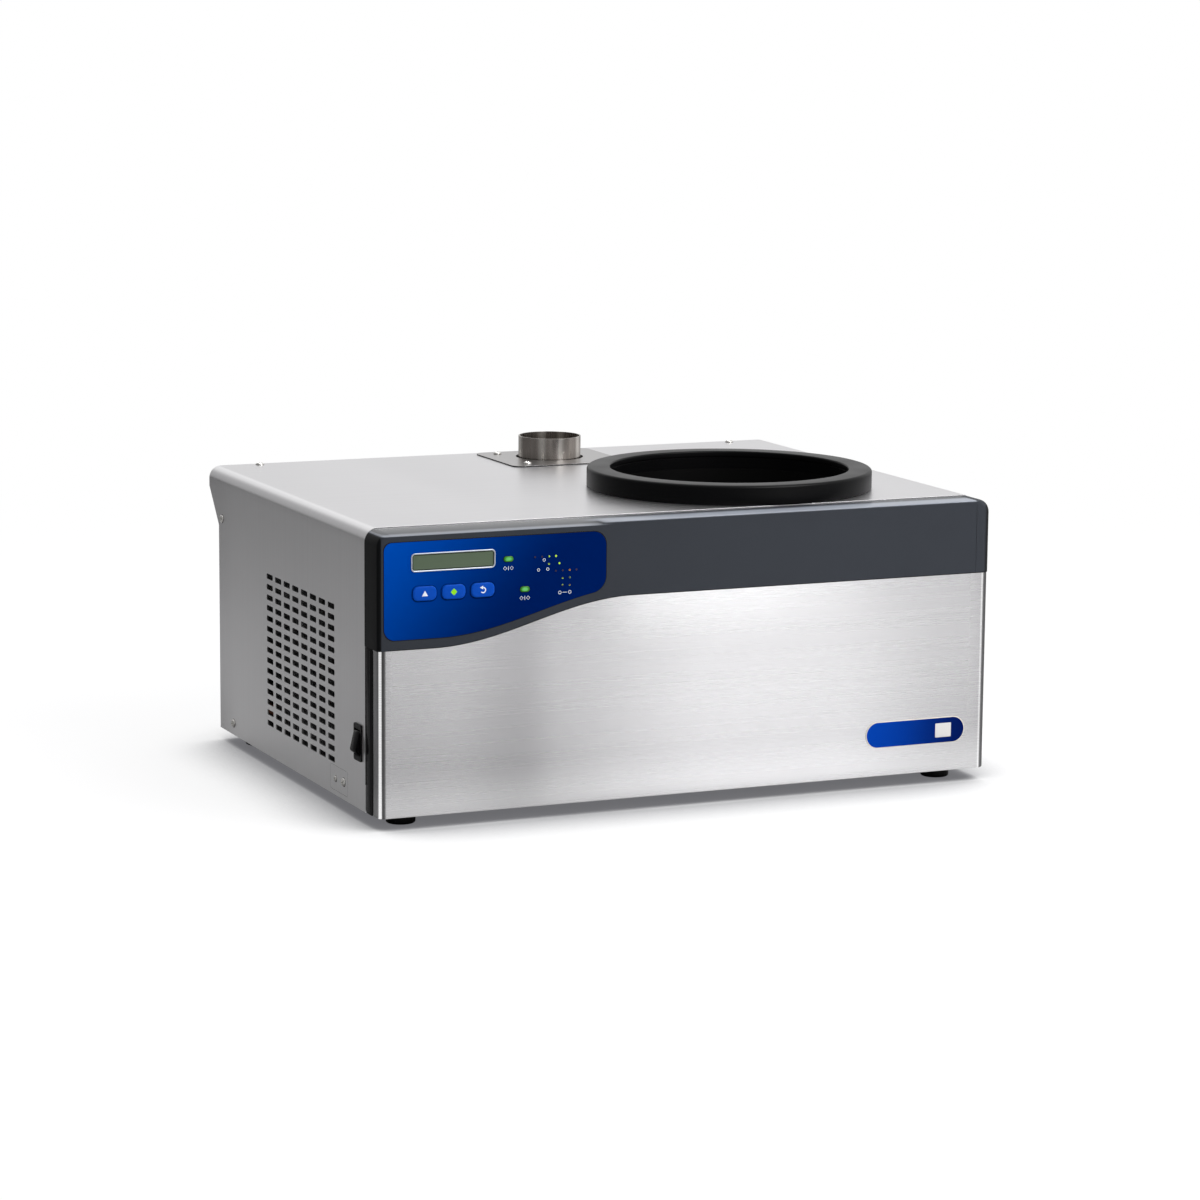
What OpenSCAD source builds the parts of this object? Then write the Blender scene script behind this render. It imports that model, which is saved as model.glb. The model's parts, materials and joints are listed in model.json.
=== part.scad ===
// Benchtop freeze dryer: stainless casing, upright collector chamber, refrigeration and vacuum port.
// Frame: X to the right, Y to the rear, Z up. Origin on the bench, below the middle of the casing.
// All lengths are in millimetres.

/* [Casing] */
// Width across the side panels
case_w = 823; // [815:1:850]
// Depth from the bezel's face to the rear edge of the top
case_d = 640; // [630:1:660]
// Height of the top sheet above the bench
case_h = 361; // [355:1:375]
// Height of the rubber feet
foot_h = 16; // [12:1:20]
// Thickness of the stainless sheet
sheet = 1.5; // [1:0.1:2]
// Outer radius of the bends between top and sides
bend_r = 16; // [10:1:20]
// Distance of the cover's front edge behind the bezel's face
cover_setback = 46.5; // [44:0.5:50]
// Distance of the lower rear panel in front of the rear edge
rear_step = 39; // [32:1:44]
// Height at which the rear panel starts to slope out
slope_z = 288; // [280:1:300]
// Height at which the slope meets the rear edge
overhang_z = 335; // [325:1:340]

/* [Vents] */
// Slots in each row of the side grille
vent_cols = 8; // [2:1:8]
// Rows of slots in the side grille
vent_rows = 15; // [2:1:15]
// Length of a slot
slot_l = 23.5; // [16:0.5:26]
// Height of a slot
slot_h = 6.8; // [4:0.2:8]
// Corner radius of a slot
slot_r = 2; // [0.5:0.1:2]
// Spacing of the slots along a row
vent_pitch_l = 32.84; // [30:0.02:34]
// Spacing of the rows
vent_pitch_h = 13.56; // [12:0.02:14]
// Rear edge of the side grille
vent_rear_y = 87.2; // [80:0.1:92]
// Top edge of the side grille
vent_top_z = 252.5; // [245:0.1:255]

/* [Bezel and controls] */
// Wall of the moulded bezel
bezel_wall = 2; // [1.6:0.1:2.2]
// Lower edge of the bezel at its left end
bezel_low_z = 219.5; // [210:0.5:225]
// Lower edge of the plain band to the right
band_low_z = 268; // [262:0.5:270]
// Right end of the console part
console_right_x = -127; // [-130:1:-124]
// Width of a control key
key_w = 30.5; // [26:0.5:32]
// Height of a control key
key_h = 17.6; // [15:0.2:19]
// Travel of a control key
key_travel = 1.2; // [0.6:0.1:1.2]
// Width of the display frame
display_w = 107.4; // [100:0.2:108]
// Height of the display frame
display_h = 22.6; // [20:0.2:23]
// Swing of the mains rocker between its two stops
rocker_swing = 26; // [20:1:28]

/* [Collector] */
// Centre of the collector chamber along the width
chamber_x = 152.7; // [140:0.1:160]
// Centre of the collector chamber along the depth
chamber_y = -93.2; // [-100:0.1:-88]
// Inner radius of the chamber
chamber_r = 152; // [148:0.5:152]
// Outer radius of the collar gasket
collar_r = 183; // [180:0.5:185]
// Inner radius of the collar gasket
collar_in_r = 153; // [152.5:0.1:154]
// Height of the collar gasket above the top sheet
collar_h = 25; // [22:0.5:30]
// Turns of the evaporator coil
coil_turns = 8; // [4:1:8]

/* [Vacuum port] */
// Centre of the port tube along the width
port_x = 45.9; // [40:0.1:50]
// Centre of the port tube along the depth
port_y = 245.8; // [240:0.1:248]
// Outer radius of the port tube
port_r = 42; // [38:0.5:42]
// Height of the port tube above the top sheet
port_h = 30; // [20:1:40]

/* [Hidden] */
$fn = 64;
left_x = -case_w / 2;
right_x = case_w / 2;
front_y = -case_d / 2;
rear_y = case_d / 2;
step_y = rear_y - rear_step;
cover_y = front_y + cover_setback;
inner_top = case_h - sheet;
eps = 0.01;
// Clearance between sheet parts, and of a screw in its hole
gap = 0.2;
drill = 0.15;

// Front assembly
panel_y = front_y + bezel_wall;
panel_x = right_x - 1;
panel_r = 9;
panel_back_y = panel_y + 19.5;
panel_flange = 12;
// Where the panel's face is cut back under the bezel at each side, and how far it runs up behind it
panel_cut_left = -395;
panel_cut_right = 385;
panel_top_gap = 11;
// Height of a cutting block that reaches past everything above it
tall = 400;
bezel_x = right_x + 1;
bezel_top = case_h - 1;
bezel_back_y = cover_y - 0.8;
bezel_roll = 2.5;
bezel_left_r = 5;
bezel_right_r = 14;
chamfer_d = 14;
chamfer_h = 4;
cap_x = 390;
curve_x0 = -342;
curve_span = 260;
trim_t = 1.1;
trim_leg = 2;
trim_front_y = panel_back_y;
trim_back_y = cover_y - 0.5;

// Base pan
pan_t = 2;
pan_x = right_x - sheet - 0.4;
pan_front_y = panel_back_y + trim_leg + 0.1;
pan_rear_y = step_y - sheet - 0.3;
pan_wall_h = 28;
pan_floor = foot_h + pan_t;

// Overlay on the console
overlay_t = 1;
overlay_proud = 0.4;
overlay_y = front_y - overlay_proud;
overlay_left = -404.8;
overlay_right = -119;
overlay_top = 348.8;
overlay_margin = 12.5;
display_x = -317.1;
display_z = 323.7;
display_rim = 2.9;
key_xs = [-353.8, -316.9, -279.7];
key_z = 286.4;
key_r = 7;
key_flange = 1.4;
key_proud = 1.9;
lamp_places = [[-246.5, 321.6], [-225.2, 284]];
lamp_w = 12.6;
lamp_h = 7.2;
mimic_pitch = 9;
mimic_x = -212;
mimic_z = 322;
// Columns and rows of the status dots, counted from the top left one
mimic_cells = [
    [0, 0], [1, 0], [2, 0], [3, 0], [2, 1], [3.5, 1],
    [3, 2], [4, 2], [5, 2], [6, 2], [4, 3], [5, 3], [4, 4], [5, 4]
];
board_y = front_y + 16;
board_t = 1.6;
board_inset = 6;
pillar_bore = 1.6;
key_switch_y = front_y + 11;
key_switch_w = 6;
board_x0 = -391;
board_x1 = -139;
board_z0 = 257;
board_z1 = 345;
board_xs = [board_x0 + board_inset, board_x1 - board_inset];
board_zs = [board_z0 + board_inset, board_z1 - board_inset];
window_x0 = -376;
window_x1 = -150;
window_z0 = 272;
window_z1 = 340;
badge_x = 309.5;
badge_z = 69.2;
badge_w = 140;
badge_h = 33.7;
badge_t = 1.2;
insert_x = 349;
insert_w = 22.4;
insert_h = 18;

// Mains switch on the left side
switch_y = -251;
switch_z = 98;
switch_w = 25;
switch_h = 45.2;
switch_proud = 2;
switch_depth = 26;
rocker_gap = 0.4;
rocker_w = 19.4;
rocker_h = 32;
rocker_pivot_x = left_x + 3;
rocker_pin_r = 2;

// Collector chamber
chamber_t = 2;
chamber_out_r = chamber_r + chamber_t;
chamber_floor_z = 96;
chamber_dish = 8;
chamber_lip_r = 170;
foam_r = 184;
foam_z0 = 50;
foam_z1 = 352;
drain_r = 8;
tail_z = 130;
coil_r = 140;
coil_tube_r = 6;
coil_pitch = 24;
coil_sides = 8;
coil_steps = 30;
support_w = 10;
support_t = 3.5;
support_h = 240;
suction_z = tail_z + 8 * coil_pitch;
capillary_r = 1.6;
line_r = 4;
suction_r = 6;

// Vacuum parts
port_t = 1.65;
port_foot_z = 304;
port_foot_r = port_r + 1.5;
port_foot_top = case_h - 3;
port_plate_x = 44.5;
port_plate_y = 237;
port_plate_w = 165;
port_plate_d = 149;
port_hole_r = port_r + 3.5;
port_screw_dx = 57;
port_screw_dy = 54;
cross_z = 331;
cross_r = 20;
cross_angle = atan2(chamber_y - port_y, chamber_x - port_x);
cross_len = norm([chamber_x - port_x, chamber_y - port_y]);
outlet_x = 200;
outlet_z = 220;
outlet_r = 12.7;
vacuum_r = 12;
outlet_bore = 11;
outlet_join_y = step_y - 12;
sensor_y = 180;
drain_x = 350;
drain_z = 38;
hose_r = 9;
hose_bore = 7.05;
barb_r = 7;
tail_r = 6.5;

// Refrigeration
condenser_x0 = left_x + 9.5;
condenser_w = 38;
condenser_y0 = -172;
condenser_y1 = 100;
condenser_z0 = 40;
condenser_z1 = 262;
condenser_rows = 8;
condenser_pitch = 27;
condenser_row_z = 58;
condenser_tube_x = condenser_x0 + condenser_w / 2;
condenser_tube_r = 4.5;
fin_count = 21;
fin_t = 0.6;
fan_y = (condenser_y0 + condenser_y1) / 2;
fan_z = (condenser_z0 + condenser_z1) / 2;
fan_x = condenser_x0 + condenser_w + 14;
fan_r = 88;
fan_blades = 5;
fan_depth = 20;
shroud_x = condenser_x0 + condenser_w + 0.5;
shroud_t = 1.5;
shaft_r = 4;
motor_r = 30;
motor_x0 = fan_x + fan_depth + 8;
motor_l = 48;
comp_x = -180;
comp_y = 90;
comp_r = 75;
comp_z0 = 36;
comp_z1 = 222;
comp_round = 30;
comp_foot_x = 82;
comp_foot_y = 52;
discharge_stub = [-200, 122];
suction_stub = [-150, 60];
terminal_w = 60;
terminal_h = 70;
terminal_z = 90;
liquid_y = 190;
suction_x = -75;
drier_x = -68;
drier_y0 = -150;
drier_y1 = -40;
drier_z = 60;
drier_r = 14;

// Rear panel fittings
inlet_x = -330;
inlet_z = 80;
pump_socket_z = 150;
socket_w = 50;
socket_h = 34;
// Pins of the mains inlet and slots of the pump socket, from the middle of each
inlet_pins = [[-8, -2], [8, -2], [0, 4]];
pump_slots = [[-7, -3], [7, -3], [0, 5]];
socket_depth = 18;
box_x = -230;
box_y = -285;
box_w = 150;
box_d = 80;
box_h = 120;
box_t = 2;
rear_vent_cols = 8;
rear_vent_rows = 9;
rear_vent_x = 30;
rear_vent_z = 250;

// Screw places: [y, z] on the sides, [x, y] on the top, x along the foot of the rear panel
side_screws = [[267, 297.6], [225, 31.7], [-198.2, 38]];
small_screw = [-169.2, 36.8];
top_screws = [[-345, 308], [345, 308]];
rear_screw_xs = [-380, -130, 130, 380];
rear_screw_z = 31;
foot_r = 18;
foot_edge = 2.5;
foot_places = [[-365, -270], [365, -270], [-374, 232], [374, 232]];

// ---------- Helpers ----------

function unit(v) = v / norm(v);
function left_of(v) = [-v[1], v[0]];
function flip(list) = [for (i = [len(list) - 1:-1:0]) list[i]];

// Point i of a flat path moved sideways by t, mitred at the folds
function mitre(path, i, t) =
    let (
        last = len(path) - 1,
        a = unit(path[max(i, 1)] - path[max(i, 1) - 1]),
        b = unit(path[min(i + 1, last)] - path[min(i + 1, last) - 1]),
        n = left_of(unit(a + b))
    )
    path[i] + n * t / (n * left_of(a));

// Outline of a sheet of thickness t folded along a flat path
function folded(path, t) = concat(path, flip([for (i = [0:len(path) - 1]) mitre(path, i, t)]));

// Points of an arc about c, from angle a0 to a1
function arc(c, r, a0, a1, n) =
    [for (i = [0:n]) let (a = a0 + (a1 - a0) * i / n) c + r * [cos(a), sin(a)]];

// Height of the bezel's lower edge: level, an S-shaped rise, and level again
function bezel_edge(x) =
    let (t = min(max((x - curve_x0) / curve_span, 0), 1))
    bezel_low_z + (band_low_z - bezel_low_z) * (1 - cos(180 * t)) / 2;

module along_x(x0, x1) { translate([x0, 0, 0]) rotate([90, 0, 90]) linear_extrude(x1 - x0) children(); }
module along_y(y0, y1) { translate([0, y1, 0]) rotate([90, 0, 0]) linear_extrude(y1 - y0) children(); }
module along_z(z0, z1) { translate([0, 0, z0]) linear_extrude(z1 - z0) children(); }
module at(x, y) { translate([x, y]) children(); }

module round_box(w, h, r) {
    square([w - 2 * r, h], center = true);
    square([w, h - 2 * r], center = true);
    for (sx = [-1, 1], sy = [-1, 1]) at(sx * (w / 2 - r), sy * (h / 2 - r)) circle(r);
}

// A cylinder from point p along X, Y or Z
module rod_x(p, l, r) { translate(p) rotate([0, 90, 0]) cylinder(h = l, r = r); }
module rod_y(p, l, r) { translate(p) rotate([-90, 0, 0]) cylinder(h = l, r = r); }
module rod_z(p, l, r) { translate(p) cylinder(h = l, r = r); }

// A pipe along a path of points in space, with round bends
module pipe(path, r, bend) {
    last = len(path) - 1;
    for (i = [0:last - 1]) {
        d = unit(path[i + 1] - path[i]);
        a = path[i] + d * (i > 0 ? bend : 0);
        b = path[i + 1] - d * (i < last - 1 ? bend : 0);
        side = i < last - 1 ? path[i + 2] - path[i + 1] : path[i] - path[max(i - 1, 0)] + [0, 0, eps];
        frame_at(a, d, side) cylinder(h = norm(b - a), r = r);
    }
    for (i = [1:last - 1]) {
        d = unit(path[i] - path[i - 1]);
        e = unit(path[i + 1] - path[i]);
        frame_at(path[i] - d * bend, d, e)
            translate([bend, 0, 0]) rotate([90, 0, 0]) mirror([1, 0, 0])
                rotate_extrude(angle = 90) at(bend, 0) circle(r);
    }
}

// Places children with their Z along d and their X towards e
module frame_at(p, d, e) {
    z = unit(d);
    flat = e - z * (e * z);
    x = norm(flat) > eps ? unit(flat) : unit(cross([0, 1, 0.3], z));
    y = cross(z, x);
    multmatrix([
        [x[0], y[0], z[0], p[0]],
        [x[1], y[1], z[1], p[1]],
        [x[2], y[2], z[2], p[2]],
        [0, 0, 0, 1]
    ]) children();
}

// A pan-head screw whose seat is at the origin and whose head points along Z
module screw(head_r, shank_r, length) {
    head_h = head_r * 0.55;
    difference() {
        union() {
            intersection() {
                cylinder(h = head_h, r = head_r);
                translate([0, 0, head_h - head_r * 1.5]) sphere(r = head_r * 1.5);
            }
            translate([0, 0, -length]) cylinder(h = length + eps, r = shank_r);
        }
        for (a = [0, 90]) rotate([0, 0, a])
            translate([-head_r * 0.55, -head_r * 0.1, head_h * 0.45])
                cube([head_r * 1.1, head_r * 0.2, head_h]);
    }
}

// ---------- Casing ----------

// Outline of the top and sides seen from the front
module wrap(half_w, top, r, bottom) {
    at(-half_w, bottom) square([2 * half_w, top - r - bottom]);
    at(-half_w + r, bottom) square([2 * (half_w - r), top - bottom]);
    for (s = [-1, 1]) at(s * (half_w - r), top - r) circle(r);
}

// Outline of a side panel seen from the right
module side_outline() {
    polygon([
        [cover_y, foot_h], [step_y, foot_h], [step_y, slope_z],
        [rear_y, overhang_z], [rear_y, case_h + 1], [cover_y, case_h + 1]
    ]);
}

module slots(cols, rows, l, h, pitch_l, pitch_h) {
    for (i = [0:cols - 1], j = [0:rows - 1])
        at(-l / 2 - i * pitch_l, -h / 2 - j * pitch_h) round_box(l, h, slot_r);
}

module cover() color("silver") difference() {
    intersection() {
        along_y(cover_y, rear_y) difference() {
            wrap(right_x, case_h, bend_r, foot_h);
            wrap(right_x - sheet, inner_top, bend_r - sheet, foot_h - 1);
        }
        along_x(left_x - 1, right_x + 1) side_outline();
    }
    along_x(left_x - 1, left_x + sheet + 1) at(vent_rear_y, vent_top_z)
        slots(vent_cols, vent_rows, slot_l, slot_h, vent_pitch_l, vent_pitch_h);
    along_x(left_x - 1, left_x + sheet + 1) at(switch_y, switch_z)
        square([switch_w - 2, switch_h - 4], center = true);
    rod_z([chamber_x, chamber_y, inner_top - 1], sheet + 2, chamber_out_r + 4);
    rod_z([port_x, port_y, inner_top - 1], sheet + 2, port_r + 5);
    for (p = side_screws) rod_x([left_x - 1, p[0], p[1]], case_w + 2, 2 + drill);
    rod_x([left_x - 1, small_screw[0], small_screw[1]], 4, 1.5 + drill);
    for (p = top_screws) rod_z([p[0], p[1], inner_top - 1], 4, 2 + drill);
    port_screw_places() rod_z([0, 0, -3], 6, 2 + drill);
}

rear_path = [
    [rear_y - 24, inner_top], [rear_y - 0.3, inner_top], [rear_y - 0.3, overhang_z],
    [step_y, slope_z], [step_y, foot_h]
];

// Flange at each end of the slope, where the side screws hold
module rear_flange() polygon([
    rear_path[0], rear_path[1], rear_path[2], rear_path[3],
    [step_y - 24, slope_z], [step_y - 24, slope_z + 18], [rear_y - 24, overhang_z + 12]
]);

module rear_panel() color("silver") difference() {
    intersection() {
        union() {
            along_x(-pan_x, pan_x) polygon(folded(rear_path, -sheet));
            for (s = [-1, 1]) translate([s * (pan_x - sheet / 2), 0, 0])
                along_x(-sheet / 2, sheet / 2) rear_flange();
        }
        along_y(0, rear_y) wrap(pan_x, inner_top, bend_r - sheet + 0.4, foot_h);
    }
    along_y(step_y - 3, step_y + 1) at(rear_vent_x, rear_vent_z)
        slots(rear_vent_cols, rear_vent_rows, slot_l, slot_h, vent_pitch_l, vent_pitch_h);
    for (z = [inlet_z, pump_socket_z]) along_y(step_y - 3, step_y + 1)
        at(inlet_x, z) square([socket_w - 10, socket_h - 6], center = true);
    rod_y([outlet_x, step_y - 3, outlet_z], 6, vacuum_r + gap);
    rod_y([drain_x, step_y - 3, drain_z], 6, barb_r + gap);
    for (x = rear_screw_xs) rod_y([x, step_y - 3, rear_screw_z], 6, 2 + drill);
    for (p = top_screws) rod_z([p[0], p[1], inner_top - 3], 6, 2 + drill);
    rod_x([-pan_x - 1, side_screws[0][0], side_screws[0][1]], 2 * pan_x + 2, 2 + drill);
}

module base_pan() color("gainsboro") difference() {
    translate([-pan_x, pan_front_y, foot_h]) cube([2 * pan_x, pan_rear_y - pan_front_y, pan_wall_h]);
    translate([-pan_x + pan_t, pan_front_y + pan_t, pan_floor])
        cube([2 * (pan_x - pan_t), pan_rear_y - pan_front_y - 2 * pan_t, pan_wall_h]);
    for (p = foot_places) rod_z([p[0], p[1], foot_h - 1], 4, 3 + drill);
    for (p = [for (q = side_screws) if (q[1] < foot_h + pan_wall_h) q])
        rod_x([-pan_x - 1, p[0], p[1]], 2 * pan_x + 2, 2 + drill);
    rod_x([-pan_x - 1, small_screw[0], small_screw[1]], 4, 1.5 + drill);
    for (x = rear_screw_xs) rod_y([x, pan_rear_y - 3, rear_screw_z], 6, 2 + drill);
    rod_y([drain_x, pan_rear_y - 3, drain_z], 6, barb_r + gap);
    for (sx = [-1, 1], sy = [-1, 1])
        rod_z([comp_x + sx * comp_foot_x, comp_y + sy * comp_foot_y, foot_h - 1], 4, 4 + drill);
}

// Plan of the front panel: face, rounded corners and short side returns
module front_plan(inset) {
    x = panel_x - inset;
    r = panel_r - inset;
    y = panel_y + inset;
    at(-x, y + r) square([2 * x, panel_back_y - inset - y - r]);
    at(-x + r, y) square([2 * (x - r), 2 * r]);
    for (s = [-1, 1]) at(s * (x - r), y + r) circle(r);
}

module front_panel() color("silver") difference() {
    union() {
        along_z(foot_h, case_h) difference() {
            front_plan(0);
            front_plan(sheet);
            at(-panel_x + panel_flange, panel_back_y - 3) square([2 * (panel_x - panel_flange), 6]);
        }
        along_z(foot_h, foot_h + sheet) front_plan(0);
    }
    along_y(panel_y - 1, panel_y + 40) {
        // Corners and returns end under the bezel, the flat face runs up behind it
        at(-case_w, bezel_low_z - gap) square([case_w + panel_cut_left, tall]);
        at(panel_cut_right, band_low_z - gap) square([case_w, tall]);
        at(-case_w, case_h - panel_top_gap) square([2 * case_w, tall]);
        at(window_x0 - 2, window_z0 - 2) square([window_x1 - window_x0 + 4, window_z1 - window_z0 + 4]);
    }
    translate([-panel_x + 4, panel_y + 4, bezel_low_z - 30]) cube([2 * panel_x - 8, 40, tall]);
}

module bezel_plan(inset) {
    x = bezel_x - inset;
    y = front_y + inset;
    rl = bezel_left_r - inset;
    rr = bezel_right_r - inset;
    back = inset > 0 ? bezel_back_y + 20 : bezel_back_y;
    at(-x, y + rr) square([2 * x, back - y - rr]);
    at(-x, y + rl) square([x, rr]);
    at(-x + rl, y) square([2 * x - rl - rr, 2 * rr]);
    at(-x + rl, y + rl) circle(rl);
    at(x - rr, y + rr) circle(rr);
}

module bezel_side(inset) {
    y = front_y + inset;
    r = bezel_roll - inset;
    top = bezel_top - inset;
    back = inset > 0 ? bezel_back_y + 20 : bezel_back_y;
    at(y, 150) square([back - y, top - r - 150]);
    at(y + r, 150) square([back - y - r, top - 150]);
    at(y + r, top - r) circle(r);
}

// Long chamfer along the top of the console, moved in by inset
module console_chamfer(inset) {
    n = unit([-chamfer_h, chamfer_d]);
    along_x(-bezel_x - 1, console_right_x + inset) at(-n[0] * inset, -n[1] * inset) polygon([
        [front_y - chamfer_d, bezel_top - 2 * chamfer_h], [front_y + 2 * chamfer_d, bezel_top + chamfer_h],
        [front_y - chamfer_d, bezel_top + chamfer_h]
    ]);
}

module bezel_solid(inset) difference() {
    intersection() {
        along_y(front_y - 1, cover_y + 30) wrap(bezel_x - inset, bezel_top - inset, bend_r - inset, 150);
        along_x(-bezel_x - 1, bezel_x + 1) bezel_side(inset);
        along_z(150, case_h + 1) bezel_plan(inset);
    }
    console_chamfer(inset);
}

// Everything below the bezel's lower edge, seen from the front
module below_edge() {
    steps = 26;
    polygon(concat(
        [[-bezel_x - 5, 100], [-bezel_x - 5, bezel_edge(-bezel_x)]],
        [for (i = [0:steps]) let (x = curve_x0 + curve_span * i / steps) [x, bezel_edge(x)]],
        [[bezel_x + 5, bezel_edge(bezel_x)], [bezel_x + 5, 100]]
    ));
}

module bezel_shell() difference() {
    bezel_solid(0);
    bezel_solid(bezel_wall);
    along_y(front_y - 5, cover_y + 40) below_edge();
}

// Outline of the control overlay: rounded corners and a lower edge that runs with the bezel's
module overlay_outline(grow) {
    l = overlay_left - grow;
    r = overlay_right + grow;
    t = overlay_top + grow;
    rl = 10;
    rr = 17;
    steps = 20;
    x0 = l + 14;
    x1 = r - 16;
    low = [
        for (i = [0:steps]) let (x = x0 + (x1 - x0) * i / steps)
            [x, bezel_edge(x - 6) + overlay_margin - grow]
    ];
    corner_l = [for (i = [1:6]) let (a = i * 15) [x0 - 14 * sin(a), low[0][1] + 14 - 14 * cos(a)]];
    end_z = low[steps][1];
    corner_r = [
        for (i = [1:6]) let (a = i * 15)
            [x1 + 16 * sin(a), end_z + 6 * a / 90 + 14 - 14 * cos(a)]
    ];
    polygon(concat(
        flip(corner_r), flip(low), corner_l,
        arc([l + rl, t - rl], rl, 180, 90, 8), arc([r - rr, t - rr], rr, 90, 0, 10)
    ));
}

module front_bezel() color("dimgray") difference() {
    bezel_shell();
    translate([cap_x - gap, front_y - 5, 0]) cube([60, 80, tall]);
    along_y(front_y - 1, front_y + overlay_t - overlay_proud) overlay_outline(0.3);
    along_y(front_y - 1, front_y + 5) at(window_x0, window_z0)
        square([window_x1 - window_x0, window_z1 - window_z0]);
}

module bezel_end_cap() color("dimgray") intersection() {
    bezel_shell();
    translate([cap_x + gap, front_y - 5, 0]) cube([60, 80, tall]);
}

module corner_trim(top) {
    x = right_x - 0.5;
    difference() {
        union() {
            translate([x - trim_t, trim_front_y, foot_h])
                cube([trim_t, trim_back_y - trim_front_y, top - foot_h]);
            translate([x - 12, trim_front_y, foot_h]) cube([12, trim_leg, top - foot_h]);
        }
        // Rounded lower rear corner
        along_x(x - 20, x + 5) difference() {
            at(trim_back_y - 6, foot_h - 1) square([10, 7]);
            at(trim_back_y - 6, foot_h + 6) circle(6);
        }
    }
}

module corner_trim_left() color("black") mirror([1, 0, 0]) corner_trim(bezel_low_z - gap);
module corner_trim_right() color("black") corner_trim(band_low_z - gap);

module foot(i) color("black") translate([foot_places[i][0], foot_places[i][1], 0]) difference() {
    rotate_extrude() {
        square([foot_r - foot_edge, foot_h]);
        at(0, foot_edge) square([foot_r, foot_h - foot_edge]);
        at(foot_r - foot_edge, foot_edge) circle(foot_edge);
    }
    translate([0, 0, -1]) cylinder(h = 9, r = 7);
    translate([0, 0, -1]) cylinder(h = foot_h + 2, r = 3 + drill);
}

module foot_front_left() foot(0);
module foot_front_right() foot(1);
module foot_rear_left() foot(2);
module foot_rear_right() foot(3);

module foot_screws() color("gray")
    for (p = foot_places) translate([p[0], p[1], 8]) mirror([0, 0, 1]) screw(5.5, 3, foot_h + 2);

module cover_screws() color("lightgray") {
    for (p = side_screws) {
        translate([left_x, p[0], p[1]]) rotate([0, -90, 0]) screw(4.6, 2, 7);
        translate([right_x, p[0], p[1]]) rotate([0, 90, 0]) screw(4.6, 2, 7);
    }
    translate([left_x, small_screw[0], small_screw[1]]) rotate([0, -90, 0]) screw(3.4, 1.5, 6);
    for (p = top_screws) translate([p[0], p[1], case_h]) screw(4.6, 2, 8);
}

module rear_screws() color("lightgray")
    for (x = rear_screw_xs) translate([x, step_y, rear_screw_z]) rotate([-90, 0, 0]) screw(4.6, 2, 8);

// ---------- Controls ----------

module key_outline(grow) round_box(key_w + 2 * grow, key_h + 2 * grow, key_r + grow);
module lamp_outline(grow) round_box(lamp_w + 2 * grow, lamp_h + 2 * grow, lamp_h / 2 - 0.1 + grow);

module control_overlay() color("mediumblue") along_y(overlay_y, overlay_y + overlay_t) difference() {
    overlay_outline(0);
    at(display_x, display_z) round_box(display_w - 2 * display_rim, display_h - 2 * display_rim, 3);
    for (x = key_xs) at(x, key_z) key_outline(0.35);
    for (p = lamp_places) at(p[0], p[1]) lamp_outline(0.15);
}

module display_frame() color("lightgray") along_y(overlay_y - 0.9, overlay_y)
    at(display_x, display_z) difference() {
        round_box(display_w, display_h, 5);
        round_box(display_w - 2 * display_rim, display_h - 2 * display_rim, 3);
    }

module display_window() color("darkolivegreen")
    along_y(overlay_y + overlay_t + 0.1, overlay_y + overlay_t + 7) at(display_x, display_z)
        square([display_w + 2, display_h + 2], center = true);

// Board behind the console, with the display carrier, the key switches and its four pillars
module control_board() color("darkgreen") {
    difference() {
        translate([board_x0, board_y, board_z0]) cube([board_x1 - board_x0, board_t, board_z1 - board_z0]);
        for (x = board_xs, z = board_zs) rod_y([x, board_y - 1, z], 4, pillar_bore);
    }
    translate([display_x - display_w / 2 - 3, overlay_y + overlay_t + 7, display_z - display_h / 2 - 3])
        cube([display_w + 6, board_y - overlay_y - overlay_t - 7, display_h + 6]);
    for (x = key_xs) translate([x - key_switch_w / 2, key_switch_y, key_z - key_switch_w / 2])
        cube([key_switch_w, board_y - key_switch_y, key_switch_w]);
    for (x = board_xs, z = board_zs) difference() {
        rod_y([x, panel_y + sheet, z], board_y - panel_y - sheet, 2 * pillar_bore);
        rod_y([x, panel_y, z], 20, pillar_bore);
    }
    for (i = [0:3]) translate([board_x0 + 120 + 30 * i, board_y + board_t, board_z0 + 20]) cube([18, 5, 24]);
}

module key(x) color("royalblue") translate([x, 0, key_z]) {
    along_y(overlay_y - key_proud + 0.5, overlay_y + overlay_t + 0.2) key_outline(0);
    along_y(overlay_y - key_proud, overlay_y - key_proud + 0.5) key_outline(-0.6);
    along_y(overlay_y + overlay_t + 0.2, overlay_y + overlay_t + 0.2 + key_flange) key_outline(1.2);
    stem_y = overlay_y + overlay_t + 1;
    rod_y([0, stem_y, 0], key_switch_y - key_travel - 0.1 - stem_y, 2.5);
}

module key_up() key(key_xs[0]);
module key_select() key(key_xs[1]);
module key_return() key(key_xs[2]);

module status_lamps() color("limegreen") for (p = lamp_places) translate([p[0], 0, p[1]]) {
    along_y(overlay_y - 0.8, overlay_y + overlay_t) lamp_outline(0);
    along_y(overlay_y + overlay_t, overlay_y + overlay_t + 6) lamp_outline(1);
}

module mimic_lamps() color("gold") for (c = mimic_cells)
    rod_y([mimic_x + c[0] * mimic_pitch, overlay_y - 0.3, mimic_z - c[1] * mimic_pitch], 0.3, 1.3);

module badge_plate() color("navy") along_y(panel_y - badge_t, panel_y) at(badge_x, badge_z)
    round_box(badge_w, badge_h, badge_h / 2 - 0.3);

module badge_insert() color("white") along_y(panel_y - badge_t - 0.4, panel_y - badge_t)
    at(insert_x, badge_z) round_box(insert_w, insert_h, 1);

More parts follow.
